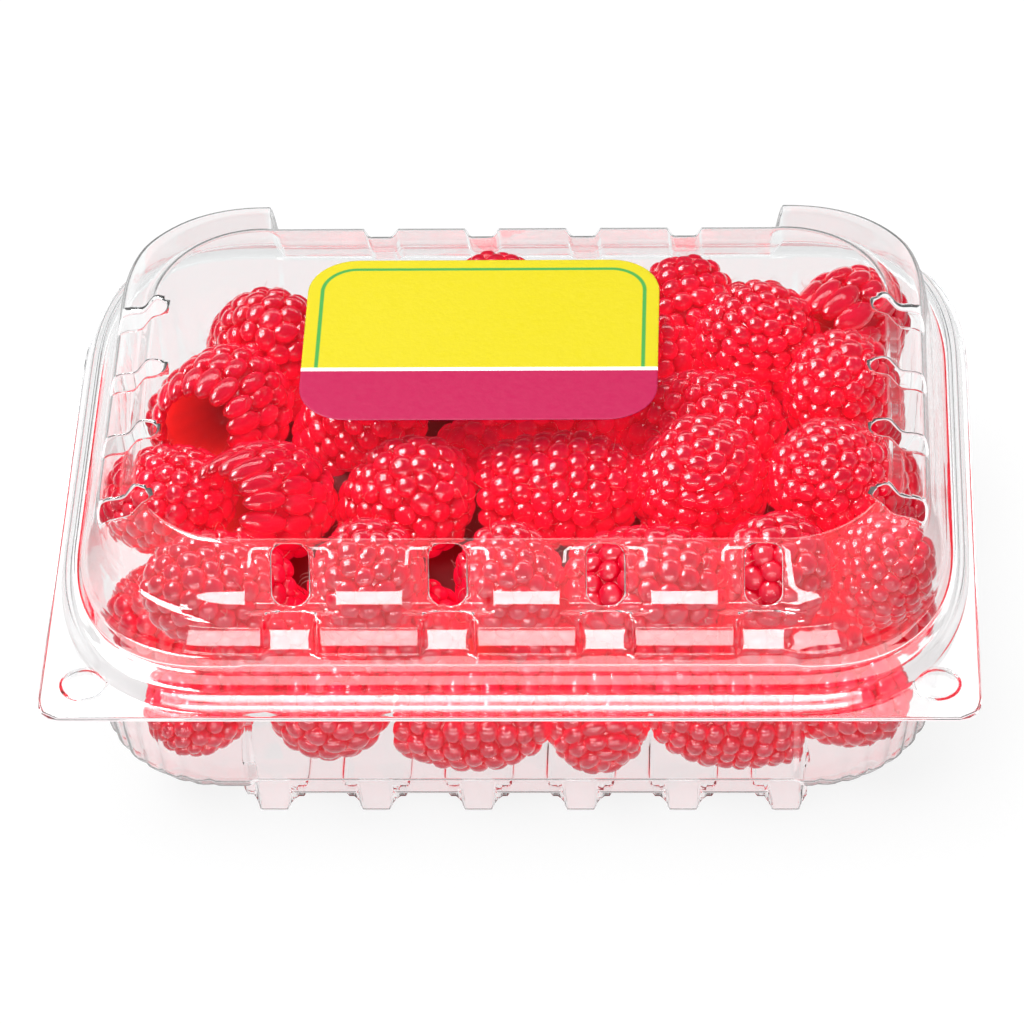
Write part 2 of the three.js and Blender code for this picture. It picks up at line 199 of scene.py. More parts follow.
scene.world = white_studio()
print("surroundings ready")

# %% Lights
PACK_FRONT = (0.0, -0.05, 0.055)
overhead = softbox("overhead", (-0.30, 0.0, 1.15), (0, 0, 0.04), (0.9, 0.7), 8.2, mirrored=False)
window = softbox("window", (-0.46, 0.0, 1.05), (0, 0, 0.04), (0.60, 0.45), 26.0, lights_up=False)
back_strip = softbox("back strip", (0.0, 0.60, 1.20), (0, 0, 0.05), (1.6, 0.26), 3.6, lights_up=False)
front_strip = softbox("front strip", (0.0, -1.34, 0.505), PACK_FRONT, (1.5, 0.11), 13.0, lights_up=False)
front_low = softbox("low front strip", (0.0, -1.42, 0.094), PACK_FRONT, (1.5, 0.16), 6.8, lights_up=False)
front_fill = softbox("front fill", (0.2, -1.2, 0.7), (0, 0, 0.03), (0.8, 0.5), 4.2, mirrored=False)


# %% Mesh helpers
SHEET = 0.35


def build_mesh(name, points, quads, triangles=(), flat_from=None):
    """Puts arrays into a mesh object: corner places in millimetres, four-sided and three-sided faces.
    Faces are smooth, apart from quads from number `flat_from` on. Those are a sheet's cut edges, and
    they take the piece's second material."""
    quads = np.asarray(quads, dtype=np.int32).reshape(-1, 4)
    triangles = np.asarray(triangles, dtype=np.int32).reshape(-1, 3)
    corners = np.concatenate([quads.ravel(), triangles.ravel()])
    sizes = np.concatenate([np.full(len(quads), 4), np.full(len(triangles), 3)])
    starts = np.concatenate([[0], np.cumsum(sizes)[:-1]]).astype(np.int32)
    mesh = bpy.data.meshes.new(name)
    mesh.vertices.add(len(points))
    mesh.vertices.foreach_set("co", (np.asarray(points) * MM).astype(np.float32).ravel())
    mesh.loops.add(len(corners))
    mesh.loops.foreach_set("vertex_index", corners)
    mesh.polygons.add(len(sizes))
    mesh.polygons.foreach_set("loop_start", starts)
    smooth = np.ones(len(sizes), dtype=bool)
    if flat_from is not None:
        smooth[flat_from:len(quads)] = False
    mesh.polygons.foreach_set("use_smooth", smooth)
    mesh.polygons.foreach_set("material_index", (~smooth).astype(np.int32))
    mesh.update(calc_edges=True)
    mesh.validate()
    piece = bpy.data.objects.new(name, mesh)
    bpy.context.collection.objects.link(piece)
    return piece


def centre_fan(rows, columns):
    """Triangles from the last corner of each row of a grid to one more corner after the grid."""
    inner = np.arange(rows) * columns + columns - 1
    return np.stack([inner, np.roll(inner, -1), np.full(rows, rows * columns)], axis=-1)


def triangle_count(piece):
    """Triangles in a piece: each face with n corners counts n - 2."""
    return sum(len(face.vertices) - 2 for face in piece.data.polygons)


def grid_quads(rows, columns, wrap=False):
    """Faces of a grid of rows x columns corners, counted row by row. With wrap, the last row joins
    the first one."""
    row = np.arange(rows if wrap else rows - 1)[:, None]
    column = np.arange(columns - 1)[None, :]
    here = row * columns + column
    there = ((row + 1) % rows) * columns + column
    return np.stack([here, there, there + 1, here + 1], axis=-1).reshape(-1, 4)


def closed_body(rings, ends, turned_over=False):
    """A body whose meridians are the rows of `rings`, closed by a fan to each of its two end points.
    Returns the corners, the quads and the fans, which face the other way if turned over."""
    sides, count = rings.shape[:2]
    points = np.concatenate([rings.reshape(-1, 3), ends])
    first = np.arange(sides) * count
    following = np.roll(first, -1)
    start = np.stack([first, following, np.full(sides, sides * count)], axis=-1)
    end = np.stack([following + count - 1, first + count - 1, np.full(sides, sides * count + 1)], axis=-1)
    quads = grid_quads(sides, count, wrap=True)
    fans = np.concatenate([start, end])
    if turned_over:
        return points, quads, fans[:, ::-1]
    return points, quads[:, ::-1], fans


def corner_normals(points, quads, triangles=()):
    """Normal at each corner: the sum of its faces' normals, each weighted by the face's area."""
    normals = np.zeros_like(points)
    quads = np.asarray(quads, dtype=int).reshape(-1, 4)
    triangles = np.asarray(triangles, dtype=int).reshape(-1, 3)
    for faces in (quads, triangles):
        if len(faces):
            across = points[faces[:, 2]] - points[faces[:, 0]]
            along = points[faces[:, -1]] - points[faces[:, 1]] if faces.shape[1] == 4 else None
            first = points[faces[:, 1]] - points[faces[:, 0]]
            normal = np.cross(across, along) if along is not None else np.cross(first, across)
            for corner in range(faces.shape[1]):
                np.add.at(normals, faces[:, corner], normal)
    lengths = np.linalg.norm(normals, axis=1, keepdims=True)
    return normals / np.maximum(lengths, 1e-9)


def thicken(points, quads, triangles, thickness):
    """Makes an open sheet a closed one: a second skin lies `thickness` below the first along the
    corner normals, with its faces turned over, and a strip closes each free edge. Returns the
    corners, all quads, where the strips start in them, and the triangles."""
    quads = np.asarray(quads, dtype=int).reshape(-1, 4)
    triangles = np.asarray(triangles, dtype=int).reshape(-1, 3)
    below = points - corner_normals(points, quads, triangles) * thickness
    count = len(points)
    edges = np.concatenate([np.stack([faces, np.roll(faces, -1, axis=1)], axis=-1).reshape(-1, 2)
                            for faces in (quads, triangles)])
    key = edges[:, 0] * count + edges[:, 1]
    opposite = edges[:, 1] * count + edges[:, 0]
    free = edges[~np.isin(key, opposite)]
    strips = np.stack([free[:, 1], free[:, 0], free[:, 0] + count, free[:, 1] + count], axis=-1)
    all_quads = np.concatenate([quads, quads[:, ::-1] + count, strips])
    all_triangles = np.concatenate([triangles, triangles[:, ::-1] + count])
    return np.concatenate([points, below]), all_quads, 2 * len(quads), all_triangles


def formed_sheet(name, points, quads, triangles):
    """A piece from an open sheet, thickened, with its cut edges flat."""
    corners, quads, strips_from, triangles = thicken(points, quads, triangles, SHEET)
    return build_mesh(name, corners, quads, triangles, flat_from=strips_from)


# %% [markdown]
# ## The formed sheet
#
# Lid and tray are made the same way. Walk once round the pack, and at each station stand a profile
# on edge that runs from the flange to the middle. A profile is a short polyline with rounded bends.
# Profiles for a block, for a channel, for a side and for a raised shoulder share one count of
# points, so that one can melt into the next. At the four corners the plan turns on a superellipse,
# whose exponent runs from 2 (an ellipse) towards a square as it grows, ring by ring.

# %% Sizes of the pack
WIDTH, DEPTH, HEIGHT = 184.0, 146.0, 66.5
LID_FLANGE = 42.5
TURN_X, TURN_Y = 54.0, 26.0
TRAY_TURN_X = 58.0
TAB_CORNER = 4.5
FLOOR = 4.2


def smooth(amount):
    """Eases from 0 to 1: 3 t^2 - 2 t^3, held flat outside."""
    t = np.clip(amount, 0.0, 1.0)
    return t * t * (3 - 2 * t)


def plateau(distance, half, ramp):
    """1 within `half` of a middle line, 0 beyond `half + ramp`, and a straight slope with softened
    ends between them: a mix of the straight ramp and its eased form."""
    t = np.clip((half + ramp - distance) / ramp, 0.0, 1.0)
    return 0.45 * t + 0.55 * smooth(t)


def even_row(count, pitch):
    """`count` places spaced `pitch` apart about 0."""
    return (np.arange(count) - (count - 1) / 2) * pitch


def rounded(points, cuts, arc=4, between=()):
    """A polyline whose inner bends are parabolas: each starts `cut` before the bend and ends `cut`
    after it, though never past 0.45 of a side. `between` lists extra points inside each side.
    Returns the places, and for each the number of the bend it belongs to, as a running figure."""
    points = np.asarray(points, dtype=float)
    places, numbers = [points[:1]], [np.zeros(1)]
    sides = np.linalg.norm(np.diff(points, axis=0), axis=1)
    last_end, last_number = points[0], 0.0
    for i in range(1, len(points)):
        inner = i < len(points) - 1
        cut = min(cuts[i], 0.45 * sides[i - 1], 0.45 * sides[i]) if inner else 0.0
        back = (points[i] - points[i - 1]) / sides[i - 1]
        start = points[i] - back * cut
        number = i - (0.2 if inner else 0.0)
        steps = np.arange(1, between[i - 1] + 1) / (between[i - 1] + 1)
        places.append(last_end + (start - last_end) * steps[:, None])
        numbers.append(last_number + (number - last_number) * steps)
        if inner:
            ahead = (points[i + 1] - points[i]) / sides[i]
            t = np.linspace(0, 1, arc + 1)[:, None]
            end = points[i] + ahead * cut
            places.append((1 - t) ** 2 * start + 2 * t * (1 - t) * points[i] + t * t * end)
            numbers.append(i - 0.2 + 0.4 * t[:, 0])
            last_end, last_number = end, i + 0.2
        else:
            places.append(points[i:i + 1])
            numbers.append(np.array([float(i)]))
    return np.concatenate(places), np.concatenate(numbers)


def gathered(places, gap=0.12):
    """Sorted places with those closer than `gap` to the one before dropped."""
    places = np.sort(np.concatenate([np.atleast_1d(part) for part in places]))
    keep = np.concatenate([[True], np.diff(places) > gap])
    return places[keep]


print("a plateau's slope", plateau(np.arange(5), 1.0, 2.0).round(2))


# %% Stations round the plan
def plan(front, back, front_turns, back_turns, sides):
    """Stations anticlockwise from the front's left end, as arrays: kind (0 along the front or back,
    1 corner, 2 side), the signs of x and y, the place along a straight, and the share of a turn."""
    parts = [
        (0, 1, -1, front, 0), (1, 1, -1, 0, front_turns), (2, 1, 1, sides, 0),
        (1, 1, 1, 0, back_turns[::-1]), (0, 1, 1, back[::-1], 0), (1, -1, 1, 0, back_turns),
        (2, -1, 1, sides[::-1], 0), (1, -1, -1, 0, front_turns[::-1]),
    ]
    columns = []
    for kind, sign_x, sign_y, along, turn in parts:
        size = max(np.size(along), np.size(turn))
        columns.append(np.stack([np.broadcast_to(value, size).astype(float)
                                 for value in (kind, sign_x, sign_y, along, turn)]))
    kind, sign_x, sign_y, along, turn = np.concatenate(columns, axis=1)
    return {"kind": kind, "sign_x": sign_x, "sign_y": sign_y, "along": along, "turn": turn}


def tab_corner(half_x, half_y, turn_x, turn):
    """The square tab at a front corner: two straight lines joined by a quarter circle, walked at an
    even pace as `turn` goes from 0 to 1."""
    run_x = half_x - turn_x - TAB_CORNER
    run_y = half_y - TURN_Y - TAB_CORNER
    arc = TAB_CORNER * math.pi / 2
    walked = turn * (run_x + run_y + arc)
    angle = np.clip((walked - run_x) / TAB_CORNER, 0.0, math.pi / 2)
    x = turn_x + np.minimum(walked, run_x) + TAB_CORNER * np.sin(angle)
    y = half_y - TAB_CORNER * (1 - np.cos(angle)) - np.maximum(walked - run_x - arc, 0.0)
    return x, y


def stand_profiles(stations, end, side, front_round, back_round, tab, turn_x):
    """Places for each station and profile point. `end` and `side` hold inset and height. A point on
    a corner lies at (turn_x + a sin^p, turn_y + b cos^p), where p is 2 over the ring's exponent, and
    its height eases from the end's profile to the side's. `tab` is each point's share of the square
    tab at the two front corners."""
    kind = stations["kind"][:, None]
    half_x = WIDTH / 2 - side[..., 0]
    half_y = DEPTH / 2 - end[..., 0]
    angle = stations["turn"][:, None] * math.pi / 2
    power = 2 / np.where(stations["sign_y"][:, None] < 0, front_round, back_round)
    corner_x = turn_x + (half_x - turn_x) * np.sin(angle) ** power
    corner_y = TURN_Y + (half_y - TURN_Y) * np.cos(angle) ** power
    tab_x, tab_y = tab_corner(half_x, half_y, turn_x, stations["turn"][:, None])
    tab_share = np.where(stations["sign_y"][:, None] < 0, tab, 0.0)
    corner_x = corner_x + (tab_x - corner_x) * tab_share
    corner_y = corner_y + (tab_y - corner_y) * tab_share
    along = stations["along"][:, None]
    sign_x, sign_y = stations["sign_x"][:, None], stations["sign_y"][:, None]
    x = np.where(kind == 0, along, np.where(kind == 1, sign_x * corner_x, sign_x * half_x))
    y = np.where(kind == 0, sign_y * half_y, np.where(kind == 1, sign_y * corner_y, along))
    share = np.where(kind == 0, 0.0, np.where(kind == 1, smooth(stations["turn"][:, None]), 1.0))
    z = end[..., 1] + (side[..., 1] - end[..., 1]) * share
    return np.stack([x + 0 * z, y + 0 * z, z], axis=-1)


# %% [markdown]
# ## The lid
#
# Going up from the flange, the lid has a raised rim, a short wall, a ledge, then blocks and channels
# in turn up to the flat top. Each front channel carries an air slot, and below each slot a small
# arch is pressed into the wall. Four more slots run over each stepped side.

# %% Profiles of the lid
LID = {
    "block": [(0, 42.5), (1.2, 42.5), (2.7, 46.5), (7.2, 47.3), (7.8, 47.5), (11.5, 48.0), (12.0, 49.7),
              (13.8, 54.2), (15.6, 54.8), (17.2, 55.3), (19.1, 58.5), (21.9, 62.6), (24.6, 66.5), (34, 66.5)],
    "channel": [(0, 42.5), (1.2, 42.5), (2.7, 46.5), (7.2, 47.3), (7.8, 47.5), (12.5, 48.0),
                (13.4, 49.5), (15.3, 52.7), (16.9, 54.0), (18.4, 54.9), (20.0, 57.9), (22.3, 62.2),
                (24.6, 66.5), (34, 66.5)],
    "side": [(0, 42.5), (1.2, 42.5), (2.2, 46.8), (3.8, 47.2), (4.1, 47.5), (5.7, 47.7), (6.3, 49.7),
             (8.1, 55.0), (9.1, 59.0), (10.0, 61.6), (11.6, 62.5), (14.6, 62.8), (17.2, 66.5), (28, 66.5)],
    "shoulder": [(1.75, 42.5), (2.4, 42.5), (3.4, 47.0), (4.8, 47.0), (5.2, 47.5), (7.0, 47.5), (7.2, 50.0),
                 (7.6, 56.2), (8.2, 58.4), (9.4, 60.0), (13.0, 61.0), (20.0, 62.0), (24.6, 66.5), (34, 66.5)],
    "shoulder side": [(0, 42.5), (1.2, 42.5), (2.1, 47.0), (3.6, 47.0), (3.9, 47.5), (5.2, 47.5),
                      (5.4, 50.0), (5.9, 56.6), (6.5, 59.0), (7.4, 60.4), (10.2, 61.6), (14.6, 62.5),
                      (17.2, 66.5), (28, 66.5)],
}
BACK_EDGE = [(1.75, 42.5), (2.5, 42.5), (3.5, 47.0)]
LID["back"] = BACK_EDGE + LID["block"][3:]
BACK_NOTCH = [(18.6, 55.0), (21.0, 58.2), (26.0, 65.2), (27.6, 66.5), (34, 66.5)]
LID["back channel"] = BACK_EDGE + LID["channel"][3:9] + BACK_NOTCH
LID_CUTS = [0, 0.5, 0.9, 0.5, 0.5, 0.7, 0.8, 0.9, 0.6, 0.8, 0.7, 1.0, 1.1, 0]
LID_BETWEEN = [1, 1, 1, 0, 1, 0, 1, 1, 1, 2, 5, 2, 7]
FRONT_ROUND = [2.4, 2.4, 2.4, 2.4, 2.4, 2.4, 2.35, 2.25, 2.2, 2.15, 2.1, 2.0, 2.0, 2.0]
BACK_ROUND = [2.8, 2.7, 2.65, 2.6, 2.6, 2.6, 2.5, 2.4, 2.35, 2.3, 2.2, 2.1, 2.0, 2.0]

lid_profile = {}
for name, points in LID.items():
    lid_profile[name], lid_number = rounded(points, LID_CUTS, between=LID_BETWEEN)
print("each profile of the lid has", len(lid_number), "points")

# %% Stations of the lid
FRONT_CHANNELS = even_row(4, 30.8) + 3.6
BACK_CHANNELS = even_row(4, 21.0) + 2.0
CHANNEL = {"half": 6.9, "ramp": 2.1}
ARCH = {"half": 4.3, "ramp": 1.3}
BACK_CHANNEL = {"half": 2.2, "ramp": 1.4}
SIDE_SLOT_ROWS = np.array([-34.0, -15.0, 4.0, 23.0])

slot_span = np.arange(-4.2, 4.21, 0.5)
ramp_span = np.array([4.7, 5.1, 5.5, 6.2, 6.7, 7.1, 7.5, 7.9, 8.3, 8.7, 9.1, 9.9, 12.0, 14.2])
channel_span = np.concatenate([-ramp_span, slot_span, ramp_span])
lid_front = gathered([centre + channel_span for centre in FRONT_CHANNELS] + [np.array([-54.0, 54.0])], 0.25)
lid_front = lid_front[np.abs(lid_front) <= 54.0]
back_span = np.array([0.0, 1.1, 2.0, 2.4, 2.8, 3.2, 3.6, 4.2])
shoulder_span = np.arange(51.0, 54.1, 0.5)
lid_back = gathered([centre + np.concatenate([-back_span, back_span]) for centre in BACK_CHANNELS]
                    + [np.arange(-51, 51.1, 3.0), shoulder_span, -shoulder_span], 0.3)
side_span = np.arange(-3.8, 3.81, 0.5)
lid_sides = gathered([row + side_span for row in SIDE_SLOT_ROWS] + [np.arange(-26, 26.1, 2.2)], 0.25)
lid_sides = lid_sides[(lid_sides >= -26) & (lid_sides <= 26)]
front_turns = gathered([np.arange(1, 15) / 22.0, np.arange(0.64, 0.995, 0.0165)], 0.012)
back_turns = np.arange(1, 24) / 24.0
lid_plan = plan(lid_front, lid_back, front_turns, back_turns, lid_sides)
print("the lid has", len(lid_plan["kind"]), "stations")


# %% How far each point of the lid lies in a channel
def nearest(x, centres):
    """Distance from x to the nearest of the centres."""
    return np.min(np.abs(x[..., None] - centres), axis=-1)


along = lid_plan["along"][:, None]
is_front = ((lid_plan["kind"] == 0) & (lid_plan["sign_y"] < 0))[:, None]
is_back = ((lid_plan["kind"] == 0) & (lid_plan["sign_y"] > 0))[:, None]
number = lid_number[None, :]
arch_half = ARCH["half"] * np.sqrt(np.clip(1 - (np.clip(number - 7.0, 0, None) / 1.75) ** 2, 0, 1))
in_arch = plateau(nearest(along, FRONT_CHANNELS), arch_half, ARCH["ramp"]) * (number < 8.78)
in_arch = in_arch * smooth((number - 4.3) / 0.6)
in_channel = plateau(nearest(along, FRONT_CHANNELS), CHANNEL["half"], CHANNEL["ramp"])
in_channel = in_channel * smooth((number - 8.5) / 0.4)
front_weight = np.where(is_front, np.maximum(in_arch, in_channel), 0.0)
in_notch = plateau(nearest(along, BACK_CHANNELS), BACK_CHANNEL["half"], BACK_CHANNEL["ramp"])
back_weight = np.where(is_back, in_notch, 0.0)

shoulder = np.where(lid_plan["kind"] == 1, 1 - smooth((lid_plan["turn"] - 0.55) / 0.45), 0.0)
shoulder = np.where(is_back[:, 0], smooth((np.abs(lid_plan["along"]) - 51.0) / 3.0), shoulder)
shoulder = np.where(lid_plan["sign_y"] > 0, shoulder, 0.0)
shoulder = np.where(lid_plan["kind"] == 2, 0.0, shoulder)[:, None, None]


def melt(first, second, weight):
    """first + (second - first) * weight, for profiles and a weight at each of their points."""
    return first + (second - first) * weight[..., None]


front_end = melt(lid_profile["block"][None], lid_profile["channel"][None], front_weight)
back_end = melt(lid_profile["back"][None], lid_profile["back channel"][None], back_weight)
back_end = back_end + (lid_profile["shoulder"][None] - back_end) * shoulder
lid_end = np.where(lid_plan["sign_y"][:, None, None] < 0, front_end, back_end)
lid_side = lid_profile["side"][None] + (lid_profile["shoulder side"] - lid_profile["side"])[None] * shoulder
lid_front_round = np.interp(lid_number, np.arange(14), FRONT_ROUND)[None]
lid_back_round = np.interp(lid_number, np.arange(14), BACK_ROUND)[None]
lid_points = stand_profiles(lid_plan, lid_end, lid_side, lid_front_round, lid_back_round,
                            1 - smooth((lid_number[None] - 0.45) / 0.35), TURN_X)
print("lid spans", lid_points.min(axis=(0, 1)).round(2), lid_points.max(axis=(0, 1)).round(2))

# %% [markdown]
# The slots are cut out of the grid. Each slot is a long hole with round ends, drawn on the unrolled
# wall: one axis runs along the wall, the other up the profile. Faces whose middle is inside are
# dropped, and the corners left on the border slide onto the outline, so the cut comes out smooth.


# %% Cutting slots
def slot_distance(a, s, slot):
    """Signed distance from (a, s) to a rounded rectangle at (a0, s0): the distance to the rectangle
    that is smaller by the corner radius all round, less that radius. Negative inside. Also returns
    the direction straight away from that smaller rectangle."""
    corner = slot["corner"]
    da = a - slot["a"]
    ds = s - slot["s"]
    reach_a = slot["width"] / 2 - corner
    reach_s = slot["length"] / 2 - corner
    out_a = np.maximum(np.abs(da) - reach_a, 0.0) * np.sign(da)
    out_s = np.maximum(np.abs(ds) - reach_s, 0.0) * np.sign(ds)
    distance = np.hypot(out_a, out_s)
    safe = np.maximum(distance, 1e-6)
    return distance - corner, out_a / safe, out_s / safe


def sample_grid(points, row, column):
    """Places at fractional rows and columns of a grid, mixed from the four corners around each."""
    rows, columns = points.shape[:2]
    row = np.clip(row, 0, rows - 1.001)
    column = np.clip(column, 0, columns - 1.001)
    r, c = np.floor(row).astype(int), np.floor(column).astype(int)
    fr, fc = (row - r)[:, None], (column - c)[:, None]
    low = points[r, c] * (1 - fc) + points[r, c + 1] * fc
    high = points[r + 1, c] * (1 - fc) + points[r + 1, c + 1] * fc
    return low * (1 - fr) + high * fr


def cut_slots(points, a, s, slots, allowed):
    """Drops the faces inside the slots and slides border corners onto the outlines. `a` is each
    corner's place along the wall, `s` its length up the profile. Returns the places and a mask of
    the faces that stay."""
    rows, columns = a.shape
    stay = np.ones((rows, columns - 1), dtype=bool)
    result = points.copy()
    slope_a = np.gradient(a, axis=0)
    slope_s = np.gradient(s, axis=1)
    for slot in slots:
        distance, away_a, away_s = slot_distance(a, s, slot)
        distance = np.where(allowed(slot)[:, None], distance, 99.0)
        following = np.roll(distance, -1, axis=0)
        middle = (distance[:, :-1] + distance[:, 1:] + following[:, :-1] + following[:, 1:]) / 4
        gone = middle < 0
        stay &= ~gone
        touched = np.zeros((rows, columns), dtype=int)
        for shift_row in (0, 1):
            for shift_column in (0, 1):
                part = np.roll(gone, shift_row, axis=0)
                touched[:, shift_column:shift_column + columns - 1] += part
        r, c = np.nonzero((touched > 0) & (touched < 4))
        new_row = r - distance[r, c] * away_a[r, c] / slope_a[r, c]
        new_column = c - distance[r, c] * away_s[r, c] / slope_s[r, c]
        result[r, c] = sample_grid(points, new_row, new_column)
    return result, stay


def length_along(profile):
    """Running length of a profile from its flange edge."""
    return np.concatenate([[0], np.cumsum(np.linalg.norm(np.diff(profile, axis=0), axis=1))])


channel_length = length_along(lid_profile["channel"])
side_length = length_along(lid_profile["side"])
slot_low = np.interp(9.05, lid_number, channel_length)
slot_high = np.interp(11.95, lid_number, channel_length)
front_slots = [{"a": x, "s": (slot_low + slot_high) / 2, "width": 7.3, "length": slot_high - slot_low,
                "corner": 2.7, "front": True} for x in FRONT_CHANNELS]
outer_end = np.interp(8.35, lid_number, side_length)
inner_end = np.interp(12.0, lid_number, side_length) + np.array([1.8, 3.6, 3.4, 2.6])
side_slots = [{"a": y, "s": (outer_end + end) / 2, "width": 5.2, "length": end - outer_end,
               "corner": 2.5, "front": False, "sign": sign}
              for y, end in zip(SIDE_SLOT_ROWS, inner_end) for sign in (-1, 1)]


def slot_stations(slot):
    """Stations that a slot may cut: the straight front, or one side with its corners."""
    if slot["front"]:
        return is_front[:, 0]
    return (lid_plan["kind"] > 0) & (lid_plan["sign_x"] == slot["sign"])


stations_count = len(lid_plan["kind"])
front_a = np.broadcast_to(lid_points[..., 0], lid_points.shape[:2])
front_s = np.broadcast_to(channel_length, lid_points.shape[:2])
lid_cut, front_stay = cut_slots(lid_points, front_a, front_s, front_slots, slot_stations)
side_a = lid_points[..., 1]
side_s = np.broadcast_to(side_length, lid_points.shape[:2])
lid_cut, side_stay = cut_slots(lid_cut, side_a, side_s, side_slots, slot_stations)
lid_stay = front_stay & side_stay
print("faces cut for slots:", int((~lid_stay).sum()))

# %% The lid's mesh
columns = lid_points.shape[1]
lid_quads = grid_quads(stations_count, columns, wrap=True)[lid_stay.ravel()]
lid_corners = np.concatenate([lid_cut.reshape(-1, 3), [[0, 0, HEIGHT]]])
lid_sheet = formed_sheet("lid_sheet", lid_corners, lid_quads, centre_fan(stations_count, columns))
print("lid sheet", triangle_count(lid_sheet), "triangles")

# %% [markdown]
# The two front corners of the flange are square tabs, each with a press button: a low round dome
# with a narrow foot, made by turning one profile about an upright axis.


# %% Press buttons
def turned(profile, centre, sides=40):
    """A closed form of revolution: profile points (radius, height) swept about the upright axis
    through `centre`. The first and the last point lie on the axis."""
    profile = np.asarray(profile, dtype=float)
    angle = np.arange(sides) * 2 * np.pi / sides
    ring = np.stack([np.cos(angle), np.sin(angle)], axis=-1)
    body = profile[1:-1]
    height = np.broadcast_to(body[None, :, 1:], (sides, len(body), 1))
    rings = np.concatenate([body[None, :, :1] * ring[:, None, :], height], axis=-1)
    ends = np.array([[0, 0, profile[0, 1]], [0, 0, profile[-1, 1]]])
    return closed_body(rings + np.asarray(centre), ends + np.asarray(centre))


BUTTON_PROFILE = [(0, 1.0), (2.6, 0.98), (3.3, 0.88), (3.8, 0.55), (4.1, 0.2), (4.6, 0.12), (4.8, 0.03),
                  (3.9, 0.03), (3.6, 0.25), (3.1, 0.6), (2.4, 0.7), (0, 0.72)]
BUTTON_PLACE = (83.5, -63.5)
left_button, right_button = [turned(BUTTON_PROFILE, (sign * BUTTON_PLACE[0], BUTTON_PLACE[1], LID_FLANGE))
                             for sign in (-1, 1)]
shift = (0, len(left_button[0]), len(left_button[0]))
both_buttons = [np.concatenate([left, right + offset])
                for left, right, offset in zip(left_button, right_button, shift)]
press_buttons = build_mesh("press_buttons", *both_buttons)
print("buttons", triangle_count(press_buttons), "triangles")

# %% [markdown]
# ## The tray
#
# The tray hangs from its own flange just under the lid's. Its front and back walls have a recessed
# middle panel that ends in an overhang, and twelve hollow feet reach out from under it: a narrow
# nose in front and a wider block behind. The corners carry shallow upright flutes.

# %% Profiles of the tray
TRAY = {
    "corner": [(0, 41.95), (2.2, 41.95), (4.2, 45.7), (10.6, 46.7), (11.3, 30.0), (11.6, 20.0), (12.6, 13.0),
               (15.4, 9.0), (20.5, 6.0), (25.0, 4.8), (31.2, 4.2), (36.0, 4.2)],
    "panel": [(0, 41.95), (2.2, 41.95), (4.2, 45.7), (11.0, 46.7), (13.2, 30.0), (14.4, 20.0), (15.4, 10.4),
              (16.9, 9.6), (17.6, 4.8), (18.6, 4.2), (31.0, 4.2), (36.0, 4.2)],
    "foot": [(0, 41.95), (2.2, 41.95), (4.2, 45.7), (11.0, 46.7), (13.2, 30.0), (14.4, 20.0), (15.4, 10.4),
             (16.4, 9.6), (16.6, 1.0), (17.2, 0.6), (30.6, 0.6), (36.0, 4.2)],
    "side": [(0, 41.95), (1.8, 41.95), (3.3, 46.0), (4.9, 46.4), (5.9, 30.0), (6.4, 20.0), (7.6, 13.0),
             (10.6, 9.0), (16.0, 6.0), (21.0, 4.8), (27.0, 4.2), (32.0, 4.2)],
}
TRAY_BACK_EDGE = [(0.6, 41.95), (3.6, 41.95), (4.9, 46.5)]
TRAY_CUTS = [0, 0.6, 0.9, 0.9, 2.0, 2.0, 1.0, 0.8, 0.7, 0.7, 0.8, 0]
TRAY_BETWEEN = [1, 1, 2, 2, 1, 1, 1, 1, 0, 6, 1]
tray_profile = {}
for name, points in TRAY.items():
    tray_profile[name], tray_number = rounded(points, TRAY_CUTS, between=TRAY_BETWEEN)
    tray_profile["back " + name], _ = rounded(TRAY_BACK_EDGE + points[3:], TRAY_CUTS, between=TRAY_BETWEEN)
print("each profile of the tray has", len(tray_number), "points")

# %% The tray's mesh
PANEL = {"middle": 2.0, "half": 53.4, "ramp": 2.2}
FEET_X = even_row(6, 20.6) + 2.6
NOSE, BLOCK = 3.0, 6.2
foot_span = np.array([0.0, 1.5, 2.5, 2.9, 3.2, 3.6, 4.6, 5.6, 6.1, 6.4, 6.8, 8.0])
tray_along = gathered([x + np.concatenate([-foot_span, foot_span]) for x in FEET_X]
                      + [np.arange(50, 58.01, 0.5), -np.arange(50, 58.01, 0.5)], 0.25)
tray_along = tray_along[np.abs(tray_along) <= TRAY_TURN_X]
tray_turns = np.arange(1, 40) / 40.0
tray_plan = plan(tray_along, tray_along, tray_turns, tray_turns, np.arange(-26, 26.1, 4.0))
along = tray_plan["along"][:, None]
number = tray_number[None, :]
straight = (tray_plan["kind"] == 0)[:, None]
in_panel = plateau(np.abs(along - PANEL["middle"]), PANEL["half"], PANEL["ramp"])
in_panel = np.where(straight, in_panel, 0.0) + 0 * number
foot_half = NOSE + (BLOCK - NOSE) * smooth((tray_profile["foot"][:, 0] - 18.6) / 2.2)[None]
in_foot = np.where(straight, plateau(nearest(along, FEET_X), foot_half - 0.2, 0.4), 0.0) * (number > 6.5)

